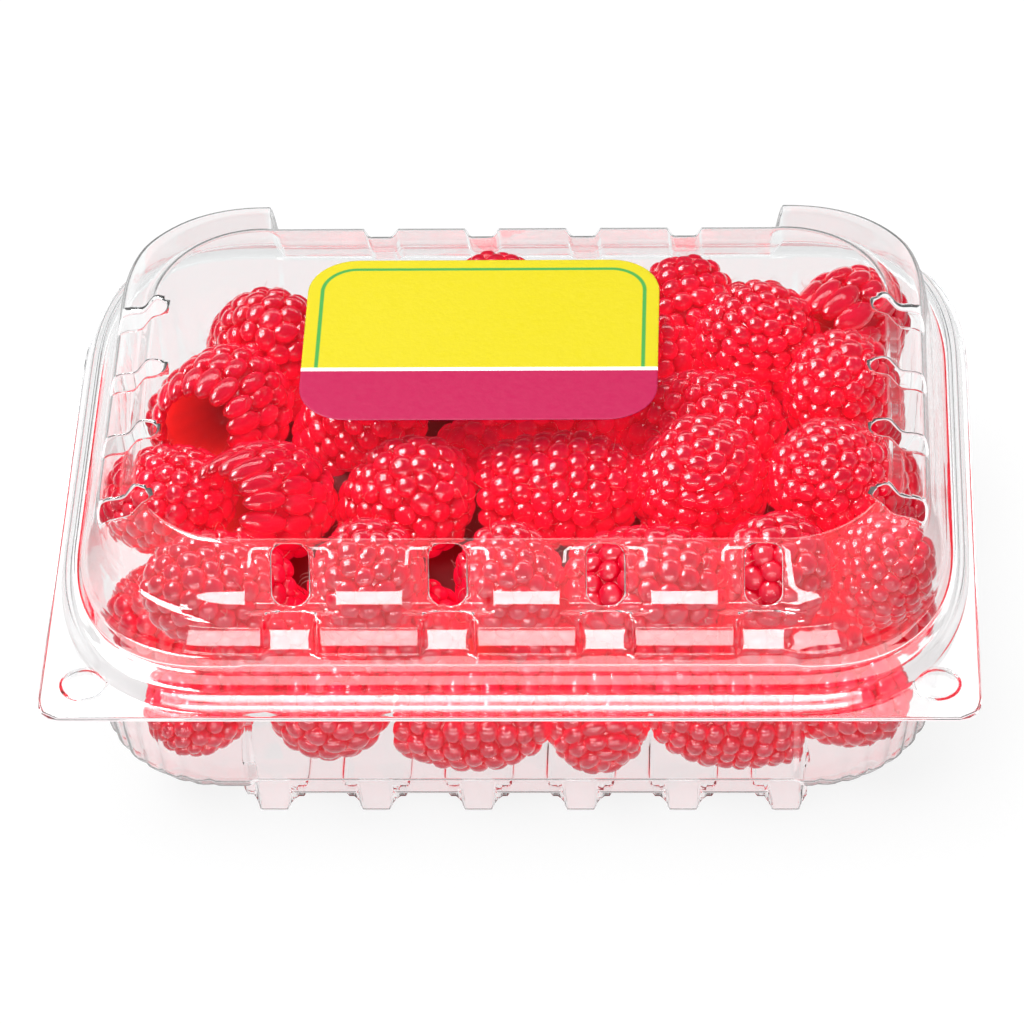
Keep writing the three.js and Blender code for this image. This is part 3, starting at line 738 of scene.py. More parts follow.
ends = {}
for prefix in ("", "back "):
    panel = melt(tray_profile[prefix + "corner"][None], tray_profile[prefix + "panel"][None], in_panel)
    ends[prefix] = melt(panel, tray_profile[prefix + "foot"][None] + 0 * panel, in_foot)
tray_end = np.where(tray_plan["sign_y"][:, None, None] < 0, ends[""], ends["back "])
flute = np.where(tray_plan["kind"] == 1, np.sin(np.pi * 9 * tray_plan["turn"]) ** 6, 0.0)[:, None]
flute = flute * smooth((number - 3.2) / 0.8) * (1 - smooth((number - 6.4) / 1.4)) * 0.7
tray_side = tray_profile["side"][None] + 0 * tray_end
tray_end = tray_end + np.stack([flute, 0 * flute], axis=-1)
tray_side = tray_side + np.stack([flute, 0 * flute], axis=-1)
TRAY_FRONT_ROUND = [2.4, 2.4, 2.4, 2.4, 2.4, 2.4, 2.4, 2.3, 2.2, 2.1, 2, 2]
TRAY_BACK_ROUND = [2.8, 2.7, 2.6, 2.5, 2.4, 2.4, 2.4, 2.3, 2.2, 2.1, 2, 2]
tray_front_round, tray_back_round = [np.interp(tray_number, np.arange(12), row)[None]
                                     for row in (TRAY_FRONT_ROUND, TRAY_BACK_ROUND)]
tray_points = stand_profiles(tray_plan, tray_end, tray_side, tray_front_round, tray_back_round,
                             1 - smooth((tray_number[None] - 0.45) / 0.35), TRAY_TURN_X)

tray_count, columns = tray_points.shape[:2]
tray_corners = np.concatenate([tray_points.reshape(-1, 3), [[0, 0, FLOOR]]])
tray_quads = grid_quads(tray_count, columns, wrap=True)
tray_sheet = formed_sheet("tray_sheet", tray_corners, tray_quads, centre_fan(tray_count, columns))
print("tray sheet", triangle_count(tray_sheet), "triangles, spans", tray_corners.min(axis=0).round(2),
      tray_corners.max(axis=0).round(2))

# %% [markdown]
# Along the back the two flanges meet in a rolled strip, the living hinge that the lid turns about.

# %% Hinge strip
along_x = np.linspace(-59, 59, 31)
round_angle = np.arange(16) * 2 * np.pi / 16
HINGE_Y, HINGE_Z, HINGE_RADIUS = 72.3, 42.0, 0.66
strip_y = HINGE_Y + HINGE_RADIUS * np.cos(round_angle)[:, None]
strip_z = HINGE_Z + HINGE_RADIUS * np.sin(round_angle)[:, None]
strip = np.stack(np.broadcast_arrays(along_x[None, 1:-1], strip_y, strip_z), axis=-1)
strip_ends = [[along_x[0], HINGE_Y, HINGE_Z], [along_x[-1], HINGE_Y, HINGE_Z]]
hinge_strip = build_mesh("hinge_strip", *closed_body(strip, strip_ends, turned_over=True))
print("hinge strip", triangle_count(hinge_strip), "triangles")

# %% [markdown]
# ## One raspberry
#
# A raspberry is a cone of juicy drupelets round a hollow where the stalk was. The drupelets sit in
# rings, each ring set half a step off the one before, and press each other a little out of round.
# Here one dome is worked out once as an array, and all drupelets of a berry are placed in a single
# array sum: place + frame x dome. Under them a red core with the hollow closes the gaps.


# %% Dome and berry profile
def dome(sides=12, polar=(24.0, 50.0, 78.0, 108.0)):
    """Closed blob: rings at the polar angles, of radius sin(angle) ** 0.85 and height cos(angle),
    between a top and a bottom point. Returns the places and the faces."""
    polar = np.radians(polar)
    angle = np.arange(sides) * 2 * np.pi / sides
    radius = np.sin(polar) ** 0.85
    rings = np.stack([radius[None] * np.cos(angle)[:, None], radius[None] * np.sin(angle)[:, None],
                      np.broadcast_to(np.cos(polar)[None], (sides, len(polar)))], axis=-1)
    return closed_body(rings, [[0, 0, 1.0], [0, 0, -0.55]])


def berry_outline(width, length):
    """Outline of the surface the drupelets sit on, from the tip to the open end: radius grows as
    sin(angle) ** 0.82 to the widest place and closes again by a fifth, over angles 0 to 128 degrees.
    Returns radius, height and running length for 60 places."""
    angle = np.radians(np.linspace(0, 128, 60))
    radius = (width / 2) * np.sin(angle) ** 0.82
    above = np.cos(angle) * length * 0.56
    below = np.cos(angle) * length * 0.44 / abs(math.cos(math.radians(128)))
    height = np.where(angle < np.pi / 2, above, below)
    run = np.concatenate([[0], np.cumsum(np.hypot(np.diff(radius), np.diff(height)))])
    return radius, height, run


DOME_POINTS, DOME_QUADS, DOME_TRIANGLES = dome()
print("a drupelet has", len(DOME_QUADS) + len(DOME_TRIANGLES), "faces")


# %% Drupelets of a berry
SWELL = 1.8


def drupelets(width, length, rng, hollow=False):
    """Middles, outward directions, upward directions and sizes of a berry's drupelets. Rings lie one
    drupelet apart along the outline, and each holds as many as fit round it. Round an open hollow
    the last rings are longer, like fingers, and fold in over the rim."""
    radius, height, run = berry_outline(width - 2 * SWELL, length - SWELL)
    pitch = rng.uniform(3.9, 4.9)
    rings = [pitch * 0.1]
    while rings[-1] < run[-1] - 0.5:
        late = smooth((rings[-1] / run[-1] - 0.45) / 0.3) if hollow else 0.0
        rings.append(rings[-1] + pitch * (0.86 + 1.3 * late))
    rings = np.array(rings)
    rings = rings * (run[-1] + 0.3) / rings[-1]
    spacing = np.gradient(rings)
    ring_radius = np.interp(rings, run, radius)
    ring_height = np.interp(rings, run, height)
    slope_r = np.interp(rings + 0.4, run, radius) - np.interp(rings - 0.4, run, radius)
    slope_h = np.interp(rings + 0.4, run, height) - np.interp(rings - 0.4, run, height)
    counts = np.maximum(1, np.round(2 * np.pi * (ring_radius + 0.7) / pitch)).astype(int)
    ring = np.repeat(np.arange(len(rings)), counts)
    step = np.concatenate([np.arange(count) for count in counts])
    angle = 2 * np.pi * (step + 0.5 * (ring % 2)) / counts[ring] + rng.normal(0, 0.03, len(ring))
    out = np.stack([np.cos(angle), np.sin(angle)], axis=-1)
    lift = rng.normal(0, 0.14, len(ring))
    middle = np.column_stack([out * ring_radius[ring, None], ring_height[ring] + lift])
    normal = np.column_stack([out * -slope_h[ring, None], slope_r[ring]])
    normal = normal / np.linalg.norm(normal, axis=1, keepdims=True)
    normal[counts[ring] == 1] = (0, 0, 1)
    around = np.column_stack([-out[:, 1], out[:, 0], np.zeros(len(ring))])
    upward = np.cross(normal, around)
    gap = np.clip(2 * np.pi * (ring_radius[ring] + 0.7) / counts[ring], 3.0, pitch * 1.15)
    sizes = np.column_stack([gap * 0.57, spacing[ring] * 0.62, np.full(len(ring), SWELL + 0.2)])
    sizes = sizes * rng.normal(1.0, 0.045, (len(ring), 1)) * rng.normal(1.0, 0.035, (len(ring), 3))
    return middle - normal * 0.2, normal, around, upward, sizes


def core_with_hollow(width, length, sides=28):
    """The flesh under the drupelets: the outline a little smaller, folded over at the open end into
    a hollow that narrows as it goes up. Ribs in the hollow follow cos(14 x angle). Also returns, for
    each corner, whether it lines the hollow, and how near the open end it lies there, from 0 to 1,
    from which the material paints shade deeper in the hollow."""
    radius, height, _ = berry_outline(width - 2 * SWELL - 0.4, length - SWELL - 0.2)
    outer = np.column_stack([radius[::4], height[::4]])
    rim_r, rim_h = radius[-1], height[-1]
    inner_share = np.linspace(0.0, 1.0, 9)[1:]
    top = height[0] * 0.42
    inner_height = rim_h + 0.3 + (top - rim_h) * inner_share
    inner = np.column_stack([rim_r * (0.86 - 0.5 * inner_share ** 1.5), inner_height])
    profile = np.concatenate([outer[1:], [[rim_r * 0.97, rim_h - 0.5], [rim_r * 0.91, rim_h - 0.4]], inner])
    angle = np.arange(sides) * 2 * np.pi / sides
    hollow = np.concatenate([np.zeros(len(outer)), np.ones(len(inner) + 1)])
    ribs = 1 + 0.035 * np.cos(14 * angle)[:, None] * hollow[None]
    ribbed = profile[None, :, 0] * ribs
    ring = np.stack([np.cos(angle)[:, None] * ribbed, np.sin(angle)[:, None] * ribbed,
                     np.broadcast_to(profile[None, :, 1], ribbed.shape)], axis=-1)
    points, quads, caps = closed_body(ring, [[0, 0, outer[0, 1]], [0, 0, top + 0.6]])
    lining = np.concatenate([np.tile(hollow, sides), [0.0, 1.0]])
    # Near the open end: the material paints shade into the hollow from this, darker deeper in.
    hollow_shade_fade = np.concatenate([np.zeros(len(outer) - 1), [1.0, 1.0], 1.0 - inner_share])
    hollow_shade_fade = np.concatenate([np.tile(hollow_shade_fade, sides), [0.0, 0.0]])
    return points, quads, caps, lining, hollow_shade_fade


def lean_matrix(lean, turn):
    """Turns a berry with its tip up so that the tip leans by `lean` degrees towards the front, and
    then swings by `turn` degrees about the upright axis, anticlockwise from above."""
    lean, turn = math.radians(lean), math.radians(turn)
    tilt = np.array([[1, 0, 0], [0, math.cos(lean), -math.sin(lean)], [0, math.sin(lean), math.cos(lean)]])
    swing = np.array([[math.cos(turn), -math.sin(turn), 0], [math.sin(turn), math.cos(turn), 0], [0, 0, 1]])
    return swing @ tilt


# %% A batch of berries as one mesh
def berry_batch(name, berries, seed):
    """All berries of a list as one piece. Each berry is (x, y, z, width, length, lean, turn), and one
    that leans past 90 degrees shows its hollow. A corner's colour holds how high it stands on its
    drupelet, from which the material paints shade into the seams, or how near the hollow's open end,
    from which it paints shade deeper in the hollow; then its drupelet's tone, its berry's tone and
    whether it lies in the hollow."""
    rng = np.random.default_rng(seed)
    points, quads, triangles, marks = [], [], [], []
    start = 0
    for x, y, z, width, length, lean, turn in berries:
        turning = lean_matrix(lean, turn) @ lean_matrix(0, rng.uniform(0, 360))
        squeeze = np.array([1.0, rng.uniform(0.93, 1.0), 1.0])
        middle, normal, around, upward, sizes = drupelets(width, length, rng, lean > 90)
        local = (DOME_POINTS[None, :, 0:1] * around[:, None] * sizes[:, None, 0:1]
                 + DOME_POINTS[None, :, 1:2] * upward[:, None] * sizes[:, None, 1:2]
                 + DOME_POINTS[None, :, 2:3] * normal[:, None] * sizes[:, None, 2:3])
        domes = (middle[:, None] + local).reshape(-1, 3) * squeeze
        core, core_quads, core_caps, lining, hollow_shade_fade = core_with_hollow(width, length)
        both = np.concatenate([domes, core * squeeze]) @ turning.T + np.array([x, y, z])
        count = len(middle)
        offsets = start + np.arange(count)[:, None, None] * len(DOME_POINTS)
        quads += [(DOME_QUADS[None] + offsets).reshape(-1, 4), core_quads + start + len(domes)]
        triangles += [(DOME_TRIANGLES[None] + offsets).reshape(-1, 3), core_caps + start + len(domes)]
        shade = np.repeat(rng.uniform(0, 1, count), len(DOME_POINTS))
        # Height on the drupelet: the material paints shade into the seams from it.
        lift = np.tile(np.clip(DOME_POINTS[:, 2], 0, 1), count)
        whole = rng.uniform(0, 1)
        marks.append(np.column_stack([
            np.concatenate([lift, hollow_shade_fade]), np.concatenate([shade, 0.5 + 0 * lining]),
            np.full(len(both), whole), np.concatenate([0 * lift, lining])]))
        points.append(both)
        start += len(both)
    piece = build_mesh(name, np.concatenate(points), np.concatenate(quads), np.concatenate(triangles))
    layer = piece.data.attributes.new("drupelet", "FLOAT_COLOR", "POINT")
    layer.data.foreach_set("color", np.concatenate(marks).astype(np.float32).ravel())
    print(name, len(berries), "berries,", triangle_count(piece), "triangles")
    return piece


# %% [markdown]
# ## The heap
#
# The upper berries stand where the photo shows them: six in the front row, then rows going back,
# three of them with their hollow turned to the viewer. The lower ones show through the tray's walls.

# %% Where the berries lie
FRONT_ROWS = [
    (-59, -38.0, 44.0, 25, 27, 60, -60), (-29, -37.5, 45.5, 25, 26, 25, 10), (-0.5, -38, 45.5, 24, 25, 25, 0),
    (26.5, -37, 44.5, 25, 29, 75, 80), (52, -35.0, 45.5, 24, 25, 30, 20), (72.5, -31.0, 42.5, 22, 25, 35, 45),
    (-70.2, -11, 44.0, 24, 27, 60, 50), (-50.5, -14.0, 45.5, 26, 27, 120, 138),
    (-21.7, -14.0, 46.0, 26, 28, 35, 60), (8.2, -12.0, 47.0, 26, 31, 82, 88),
    (37.1, -11.0, 47.0, 28, 28, 15, 10), (64.5, -11.0, 46.5, 28, 29, 30, -40)]
BACK_ROWS = [
    (-60.5, 13.5, 46.5, 27, 29, 113, 160), (-32, 12, 45, 25, 26, 40, 90), (7.0, 12.5, 45.5, 27, 30, 75, 100),
    (37.5, 8.0, 44.5, 27, 30, 70, 70), (66.0, 16.5, 47, 26, 28, 20, -20), (-53.5, 34.5, 46.5, 24, 27, 45, 30),
    (-27, 36, 45, 25, 26, 15, 0), (-1, 34, 44, 25, 26, 60, 90), (25, 30, 44.5, 24, 26, 60, -80),
    (48.5, 31.5, 47, 28, 29, 20, 20), (-6, 43.2, 45.4, 24, 25, 20, 180), (35, 41.5, 45.5, 24, 25, 50, -160),
    (67.5, 41.5, 45.5, 25, 27, 112, 150)]
LOWER_FRONT = [
    (-62.5, -41.5, 19.0, 23, 25, 85, -30), (-37.5, -43.0, 19.4, 26, 26, 60, 20),
    (-9, -44.6, 17.4, 25, 29, 85, 80), (16, -44.0, 17.8, 23, 23, 115, 10), (43, -44.2, 17.6, 25, 30, 80, -85),
    (66, -41.0, 18.6, 22, 24, 75, 60), (-70, -17, 19, 24, 26, 80, -60), (70, -16, 19.5, 24, 26, 80, 60)]
LOWER_BACK = [(x, 43.0 - abs(x) / 20, 18.8, 24, 24 + 2 * (i % 2), 75 + 15 * (i % 3), 80 * i)
              for i, x in enumerate(even_row(6, 25))]
LOWER_BACK += [(-70, 15, 19, 24, 26, 80, -120), (70, 15, 19, 24, 26, 80, 120)]
LOWER_MIDDLE = [(x, -37.0, 31.0 + i % 2, 24, 25, 50 + 20 * (i % 3), 70 * i)
                for i, x in enumerate((-50.0, -23.5, 3.5, 29.5, 55.0))]
LOWER_MIDDLE += [(x, 33.0, 31.0 + i % 2, 24, 25, 50 + 20 * (i % 3), 70 * i)
                 for i, x in enumerate(even_row(5, 25))]
LOWER_MIDDLE += [(-9, 4, 40, 20, 21, 30, 0)]
LOWER_MIDDLE += [(sign * 65, y, 31.0, 24, 25, 60, sign * 70) for sign in (-1, 1) for y in (-2, 27)]

front_berries = berry_batch("raspberries_front", FRONT_ROWS, 11)
back_berries = berry_batch("raspberries_back", BACK_ROWS, 23)
lower_berries = berry_batch("raspberries_lower_front", LOWER_FRONT, 37)
hidden_berries = berry_batch("raspberries_lower_back", LOWER_BACK, 41)
middle_berries = berry_batch("raspberries_middle", LOWER_MIDDLE, 53)
berry_pieces = [front_berries, back_berries, lower_berries, hidden_berries, middle_berries]


# %% [markdown]
# What lies deeper in the heap is never seen as berries, only as dark red between them. A lumpy
# body fills that room, so that no light falls through the heap, and its dark red is painted shade.


# %% Dark middle of the heap
def heap_shade_core(sides=64, levels=14):
    """A flattened box with round edges: x and y follow a superellipse of exponent 4 and height one of
    exponent 3, with bumps sin(x) sin(y) of a berry's pitch on it."""
    around = np.arange(sides) * 2 * np.pi / sides
    rise = np.linspace(-np.pi / 2, np.pi / 2, levels + 2)[1:-1]
    c, s = np.cos(around)[:, None], np.sin(around)[:, None]
    level = np.cos(rise)[None] ** (2 / 3)
    x = 66 * np.sign(c) * np.abs(c) ** 0.5 * level
    y = 34 * np.sign(s) * np.abs(s) ** 0.5 * level
    z = 27 + 14 * np.sign(np.sin(rise)) * np.abs(np.sin(rise)) ** (2 / 3) + 0 * x
    z = z + 1.5 * np.sin(x / 4.0) * np.sin(y / 4.0) * np.cos(rise)[None]
    body = closed_body(np.stack([x, y, z], axis=-1), [[0, 0, 13.0], [0, 0, 41.0]], turned_over=True)
    return build_mesh("heap_shade_core", *body)


painted_shade_core = heap_shade_core()
print("heap core", triangle_count(painted_shade_core), "triangles")


# %% [markdown]
# Fine dry hairs, the old styles, stand out of the seams between drupelets. Each is a thin
# three-sided tube that starts on the berry and curls over.


# %% Hairs
def hairs(name, berries, per_berry, seed):
    """Tubes of three sides and five rings. A hair starts on a drupelet's flank, leaves along the
    drupelet's outward direction and bends sideways with the square of its length."""
    rng = np.random.default_rng(seed)
    starts, outs, sides = [], [], []
    for x, y, z, width, length, lean, turn in berries:
        turning = lean_matrix(lean, turn)
        middle, normal, around, upward, sizes = drupelets(width, length, rng)
        pick = rng.choice(len(middle), min(per_berry, len(middle)), replace=False)
        swing = rng.uniform(0, 2 * np.pi, len(pick))[:, None]
        aside = around[pick] * np.cos(swing) + upward[pick] * np.sin(swing)
        foot = middle[pick] + aside * sizes[pick, :1] * 0.8 + normal[pick] * 0.7
        starts.append(foot @ turning.T + np.array([x, y, z]))
        outs.append(normal[pick] @ turning.T)
        sides.append(aside @ turning.T)
    start, out, aside = np.concatenate(starts), np.concatenate(outs), np.concatenate(sides)
    count = len(start)
    length = rng.uniform(1.6, 3.6, (count, 1, 1))
    curl = rng.normal(0, 0.55, (count, 1, 1))
    t = np.linspace(0, 1, 5)[None, :, None]
    crossing = np.cross(out, aside)
    spine = (start[:, None] + out[:, None] * length * 0.55 * np.sin(t * 1.9)
             + crossing[:, None] * curl * length * t ** 2 + aside[:, None] * length * 0.75 * t ** 1.6)
    thick = 0.055 * (1 - 0.6 * t)
    angle = np.arange(3) * 2 * np.pi / 3
    ring = (aside[:, None, None] * np.cos(angle)[None, None, :, None]
            + crossing[:, None, None] * np.sin(angle)[None, None, :, None])
    tube = (spine[:, :, None] + ring * thick[..., None]).transpose(0, 2, 1, 3)
    quads = grid_quads(3, 5, wrap=True)
    ends = np.array([[0, 10, 5], [4, 9, 14]])
    offsets = np.arange(count)[:, None, None] * 15
    return build_mesh(name, tube.reshape(-1, 3), (quads[None] + offsets).reshape(-1, 4),
                      (ends[None] + offsets).reshape(-1, 3))


berry_hairs = hairs("raspberry_hairs", FRONT_ROWS + BACK_ROWS, 60, 5)
print("hairs", triangle_count(berry_hairs), "triangles")

# %% [markdown]
# ## The sticker
#
# A paper sticker with round corners lies on the flat top. Its print is plain: a yellow field with a
# fine green frame, and a magenta band along the front.

# %% Sticker mesh
STICKER = {"x": -7.4, "y": 12.4, "width": 72.0, "depth": 50.0, "corner": 10.0, "bottom": 66.56, "thick": 0.2}


def round_rectangle(width, depth, corner, steps=10):
    """Outline of a rectangle with quarter circles at its corners, anticlockwise."""
    angle = np.linspace(0, np.pi / 2, steps)
    arc = np.column_stack([np.cos(angle), np.sin(angle)]) * corner
    centre = np.array([width / 2 - corner, depth / 2 - corner])
    turns = [(1, 1, 0), (-1, 1, 1), (-1, -1, 2), (1, -1, 3)]
    parts = []
    for sign_x, sign_y, quarter in turns:
        c, s = math.cos(quarter * math.pi / 2), math.sin(quarter * math.pi / 2)
        parts.append(arc @ np.array([[c, s], [-s, c]]) + centre * np.array([sign_x, sign_y]))
    return np.concatenate(parts)


outline = round_rectangle(STICKER["width"], STICKER["depth"], STICKER["corner"])
THICK = STICKER["thick"]
levels = [(0.97, 0.0), (1.0, 0.06), (1.0, THICK - 0.06), (0.996, THICK - 0.01), (0.985, THICK), (0.6, THICK)]
rings = np.stack([np.column_stack([outline * share, np.full(len(outline), height)])
                  for share, height in levels], axis=1)
sticker_place = np.array([STICKER["x"], STICKER["y"], STICKER["bottom"]])
sticker_ends = np.array([[0, 0, 0], [0, 0, THICK]]) + sticker_place
sticker = build_mesh("sticker_paper", *closed_body(rings + sticker_place, sticker_ends, turned_over=True))
print("sticker", triangle_count(sticker), "triangles")

# %% [markdown]
# ## Materials
#
# One effect serves several finishes: a soft mottle, noise stretched between two values. It is built
# once as a node group and placed in the berries, the hairs and the sticker with its own numbers.


# %% Mottle group
def mottle_group():
    """A node group: noise on object coordinates at a given scale, mapped from Low to High."""
    group = bpy.data.node_groups.new("mottle", "ShaderNodeTree")
    for label, default in (("Scale", 100.0), ("Low", 0.0), ("High", 1.0)):
        socket = group.interface.new_socket(name=label, in_out="INPUT", socket_type="NodeSocketFloat")
        socket.default_value = default
    group.interface.new_socket(name="Value", in_out="OUTPUT", socket_type="NodeSocketFloat")
    entry = group.nodes.new("NodeGroupInput")
    leave = group.nodes.new("NodeGroupOutput")
    place = add_node(group, "TexCoord").outputs["Object"]
    noise = add_node(group, "TexNoise", {"Vector": place, "Scale": entry.outputs["Scale"], "Detail": 1.0})
    spread = add_node(group, "MapRange", {
        "Value": noise.outputs["Fac"], "From Min": 0.3, "From Max": 0.7,
        "To Min": entry.outputs["Low"], "To Max": entry.outputs["High"]})
    group.links.new(spread.outputs["Result"], leave.inputs["Value"])
    return group


MOTTLE = mottle_group()


def mottle(tree, scale, low, high):
    """Places the mottle group in a material and returns its value socket."""
    values = {"Scale": scale, "Low": low, "High": high}
    return add_node(tree, "Group", values, node_tree=MOTTLE).outputs["Value"]


def mix_colour(tree, amount, first, second):
    """A colour mix node. Amount and colours may be sockets or plain values. Returns its result."""
    return add_node(tree, "Mix", {0: amount, 6: first, 7: second}, data_type="RGBA").outputs[2]


print("mottle group has", len(MOTTLE.nodes), "nodes")

# %% [markdown]
# **Clear sheet.** Glossy clear plastic, bent light included. Light from the lamps would be caught by
# a solid glass, so rays that only ask for shadow pass straight through.


# %% Clear sheet
def clear_sheet():
    """Clear formed plastic. Shadow rays pass straight through, and so does light that has already
    bent or bounced more than three times, which would else be trapped in the thin sheet and lost."""
    material, tree, plastic, output = new_material("clear formed sheet")
    fill(tree, plastic, {"Base Color": (0.982, 0.988, 0.990, 1.0), "Metallic": 0.0, "Roughness": 0.03,
                         "IOR": 1.46, "Transmission Weight": 1.0})
    free = add_node(tree, "BsdfTransparent", {"Color": (0.99, 0.99, 0.99, 1.0)})
    path = add_node(tree, "LightPath")
    trapped = maths(tree, "GREATER_THAN", path.outputs["Ray Depth"], 3.0)
    passing = maths(tree, "MAXIMUM", path.outputs["Is Shadow Ray"], trapped)
    choice = add_node(tree, "MixShader", {
        "Fac": passing, 1: plastic.outputs["BSDF"], 2: free.outputs["BSDF"]})
    fill(tree, output, {"Surface": choice.outputs["Shader"]})
    return material


def plain_colour(name, colour, roughness, glow=0.0):
    """One flat colour, which may also glow a little by itself as painted light."""
    material, tree, skin, _ = new_material(name)
    fill(tree, skin, {"Base Color": (*colour, 1.0), "Roughness": roughness, "Emission Color": (*colour, 1.0),
                      "Emission Strength": glow})
    return material


sheet_material = clear_sheet()
for piece in (lid_sheet, tray_sheet, press_buttons, hinge_strip):
    piece.data.materials.append(sheet_material)
# The cut edges get a flat pinkish grey that glows: painted light where the clear edge would pass light.
for piece in (lid_sheet, tray_sheet):
    piece.data.materials.append(plain_colour("cut edge", (0.62, 0.57, 0.58), 0.45, glow=0.6))
print("clear sheet on 4 pieces")

# %% [markdown]
# ** Raspberry.** Wet, shining skin. A painted glow of its own stands for the light that soft flesh
# lets through. Colour comes from the mesh: painted shade makes the seams dark crimson, the domes are
# bright red, each drupelet and each berry a little different, and the hollow is a paler orange red at
# its open end, with painted shade darkening it deeper in.


# %% Raspberry flesh
def raspberry():
    """Berry skin and flesh, coloured by the drupelet attribute, with painted shade in the seams and deep in
    the hollow, and a painted glow.
    """
    material, tree, flesh, _ = new_material("raspberry flesh")
    mark = add_node(tree, "Attribute", attribute_name="drupelet")
    parts = add_node(tree, "SeparateColor", {"Color": mark.outputs["Color"]})
    # Painted shade: the dark crimson of the seams between drupelets, varied per berry.
    dark = mix_colour(tree, parts.outputs["Blue"], (0.58, 0.000, 0.014, 1), (0.72, 0.001, 0.022, 1))
    bright = mix_colour(tree, parts.outputs["Green"], (0.88, 0.003, 0.034, 1), (0.99, 0.009, 0.052, 1))
    speckled = mix_colour(tree, mottle(tree, 420.0, 0.0, 0.35), bright, (0.80, 0.002, 0.024, 1))
    # Painted shade in the seams: below 0.2 of a drupelet's height it is dark crimson, above 0.7 bright red.
    rise = add_node(tree, "MapRange", {"Value": parts.outputs["Red"], "From Min": 0.2, "From Max": 0.7})
    skin = mix_colour(tree, rise.outputs["Result"], dark, speckled)
    # Painted shade in the hollow: pale orange red at its open end, darkening deeper in.
    lining = mix_colour(tree, parts.outputs["Red"], (0.34, 0.000, 0.006, 1), (0.95, 0.030, 0.030, 1))
    coloured = mix_colour(tree, mark.outputs["Alpha"], skin, lining)
    # The glow is painted light, standing for light that the flesh lets through.
    fill(tree, flesh, {"Base Color": coloured, "Emission Color": coloured, "Emission Strength": 0.33,
                       "Roughness": 0.18, "IOR": 1.42, "Coat Weight": 0.8, "Coat Roughness": 0.1})
    return material


def dry_hair():
    """Pale dry hair."""
    material, tree, fibre, _ = new_material("dry hair")
    tone = mix_colour(tree, mottle(tree, 300.0, 0.0, 1.0), (0.85, 0.35, 0.33, 1), (0.9, 0.6, 0.5, 1))
    fill(tree, fibre, {"Base Color": tone, "Roughness": 0.45})
    return material


berry_material = raspberry()
for piece in berry_pieces:
    piece.data.materials.append(berry_material)
berry_hairs.data.materials.append(dry_hair())

# The core's dark red is painted shade between the berries.
painted_shade_core.data.materials.append(plain_colour("deep red", (0.24, 0.001, 0.008), 0.9))
print("berries coloured")

# %% [markdown]
# **Sticker.** Coated paper with flat printed colours, so the edges between them are crisp. A
# distance to the round outline draws the frame, and the height on the sticker draws the band.


# %% Printed paper
def step_mask(tree, value, edge, softness=0.00012):
    """1 where value is above edge, 0 below, with a hair's width between."""
    values = {"Value": value, "From Min": edge - softness, "From Max": edge + softness}
    return add_node(tree, "MapRange", values).outputs["Result"]


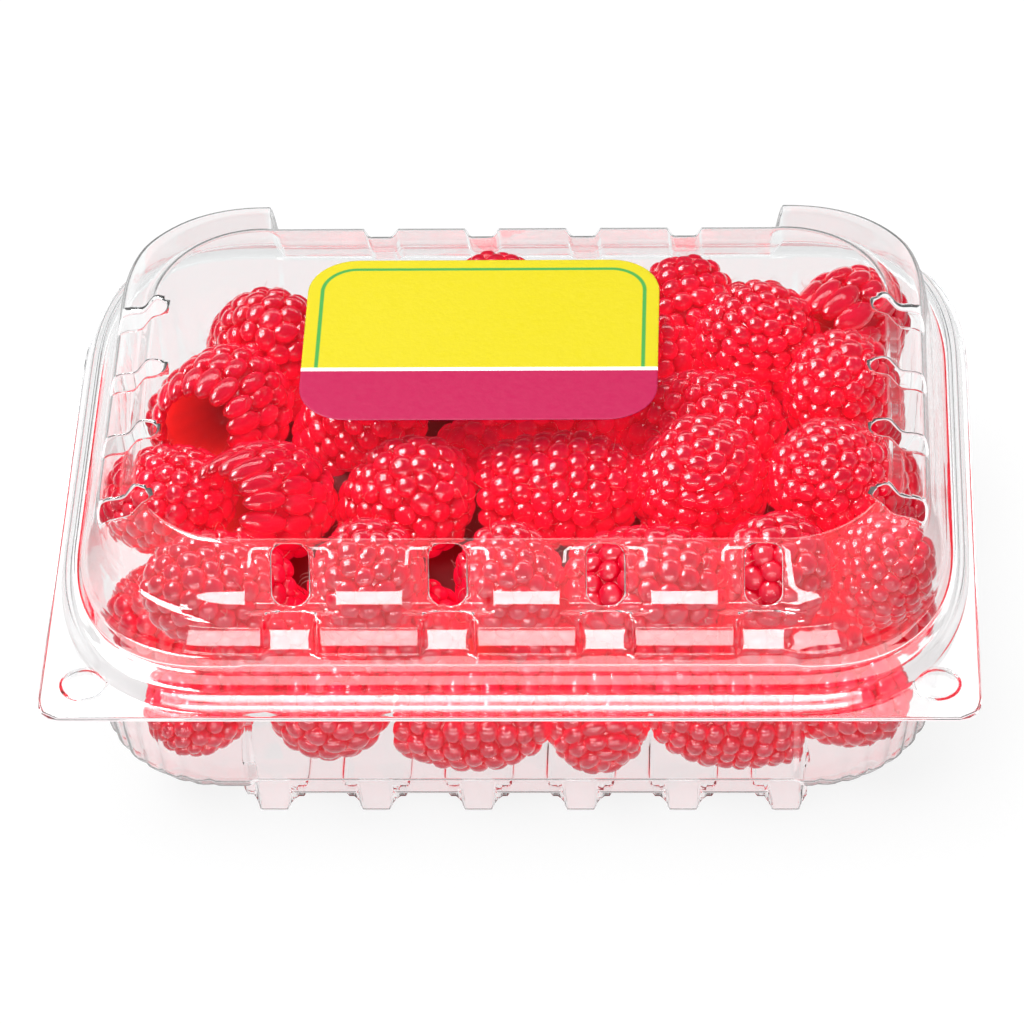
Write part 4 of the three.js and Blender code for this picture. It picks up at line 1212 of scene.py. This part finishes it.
def printed_paper():
    """Yellow field, thin green frame, white hairline and magenta band, worked out in metres from the
    sticker's middle. The frame follows |x|, |y| less the corner: sqrt(max(dx,0)^2 + max(dy,0)^2)."""
    material, tree, paper, _ = new_material("printed paper")
    place = add_node(tree, "TexCoord").outputs["Object"]
    middle = (-STICKER["x"] * MM, -STICKER["y"] * MM, 0.0)
    centred = add_node(tree, "Mapping", {"Vector": place, "Location": middle})
    split = add_node(tree, "SeparateXYZ", {"Vector": centred.outputs["Vector"]})
    corner = STICKER["corner"] * MM
    off_x, off_y = [maths(tree, "ABSOLUTE", split.outputs[axis]) for axis in ("X", "Y")]
    dx = maths(tree, "SUBTRACT", off_x, STICKER["width"] / 2 * MM - corner)
    dy = maths(tree, "SUBTRACT", off_y, STICKER["depth"] / 2 * MM - corner)
    out_x = maths(tree, "MAXIMUM", dx, 0.0)
    out_y = maths(tree, "MAXIMUM", dy, 0.0)
    squared = maths(tree, "ADD", maths(tree, "MULTIPLY", out_x, out_x), maths(tree, "MULTIPLY", out_y, out_y))
    reach = maths(tree, "SQRT", squared)
    inside = maths(tree, "MINIMUM", maths(tree, "MAXIMUM", dx, dy), 0.0)
    distance = maths(tree, "ADD", reach, inside)
    inner_edge, outer_edge = [step_mask(tree, distance, corner - inset) for inset in (0.0034, 0.0026)]
    frame_mask = maths(tree, "SUBTRACT", inner_edge, outer_edge)
    above_band = step_mask(tree, split.outputs["Y"], -0.0100)
    above_line = step_mask(tree, split.outputs["Y"], -0.0090)
    yellow = mix_colour(tree, mottle(tree, 25.0, 0.0, 0.5), (0.53, 0.45, 0.0, 1), (0.54, 0.46, 0.01, 1))
    framed = mix_colour(tree, frame_mask, yellow, (0.045, 0.28, 0.05, 1))
    lined = mix_colour(tree, above_line, (0.95, 0.95, 0.93, 1), framed)
    printed = mix_colour(tree, above_band, (0.38, 0.004, 0.060, 1), lined)
    fibres = mottle(tree, 900.0, 0.0, 1.0)
    grain = add_node(tree, "Bump", {"Strength": 0.06, "Distance": 0.0003, "Height": fibres})
    fill(tree, paper, {"Base Color": printed, "Roughness": mottle(tree, 600.0, 0.42, 0.52),
                       "Specular IOR Level": 0.25, "Normal": grain.outputs["Normal"]})
    return material


sticker.data.materials.append(printed_paper())
print("sticker printed")

# %% [markdown]
# ## The table
#
# A wide white table, partly shining by itself as a light table does, which keeps the pack's shadow
# faint. It is duller where the plastic only mirrors it, like the surroundings.

# %% Table
table_material, table_tree, surface, _ = new_material("white table")
table_path = add_node(table_tree, "LightPath")
glow = maths(table_tree, "MULTIPLY_ADD", mirrored_share(table_tree, table_path), -0.74, 0.86)
fill(table_tree, surface, {"Base Color": (0.10, 0.10, 0.10, 1.0), "Roughness": 0.8, "Specular IOR Level": 0.1,
                           "Emission Color": (1.0, 1.0, 1.0, 1.0), "Emission Strength": glow})
side = 4000.0
corners = np.array([[-side, -side, 0], [side, -side, 0], [side, side, 0], [-side, side, 0]])
table_top = build_mesh("table_top", corners, [[0, 1, 2, 3]])
table_top.data.materials.append(table_material)
print("table laid")

# %% [markdown]
# ## Joining the frame
#
# Each piece rides on the body that carries it and stands for a solid of the imported model, which is
# hidden; a material slot is listed beside each.

# %% Riding and replacing
for piece, body, node, slot in [
        (lid_sheet, "cover", "lid", "clear_lid"), (press_buttons, "cover", "lid", "clear_lid"),
        (sticker, "cover", "label", "sticker"), (tray_sheet, "base", "tray", "clear_tray"),
        (hinge_strip, "base", "tray", "clear_tray")] + [
            (piece, "base", "berries", "raspberry") for piece in berry_pieces + [berry_hairs, painted_shade_core]]:
    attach(piece, body)
    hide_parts(node)
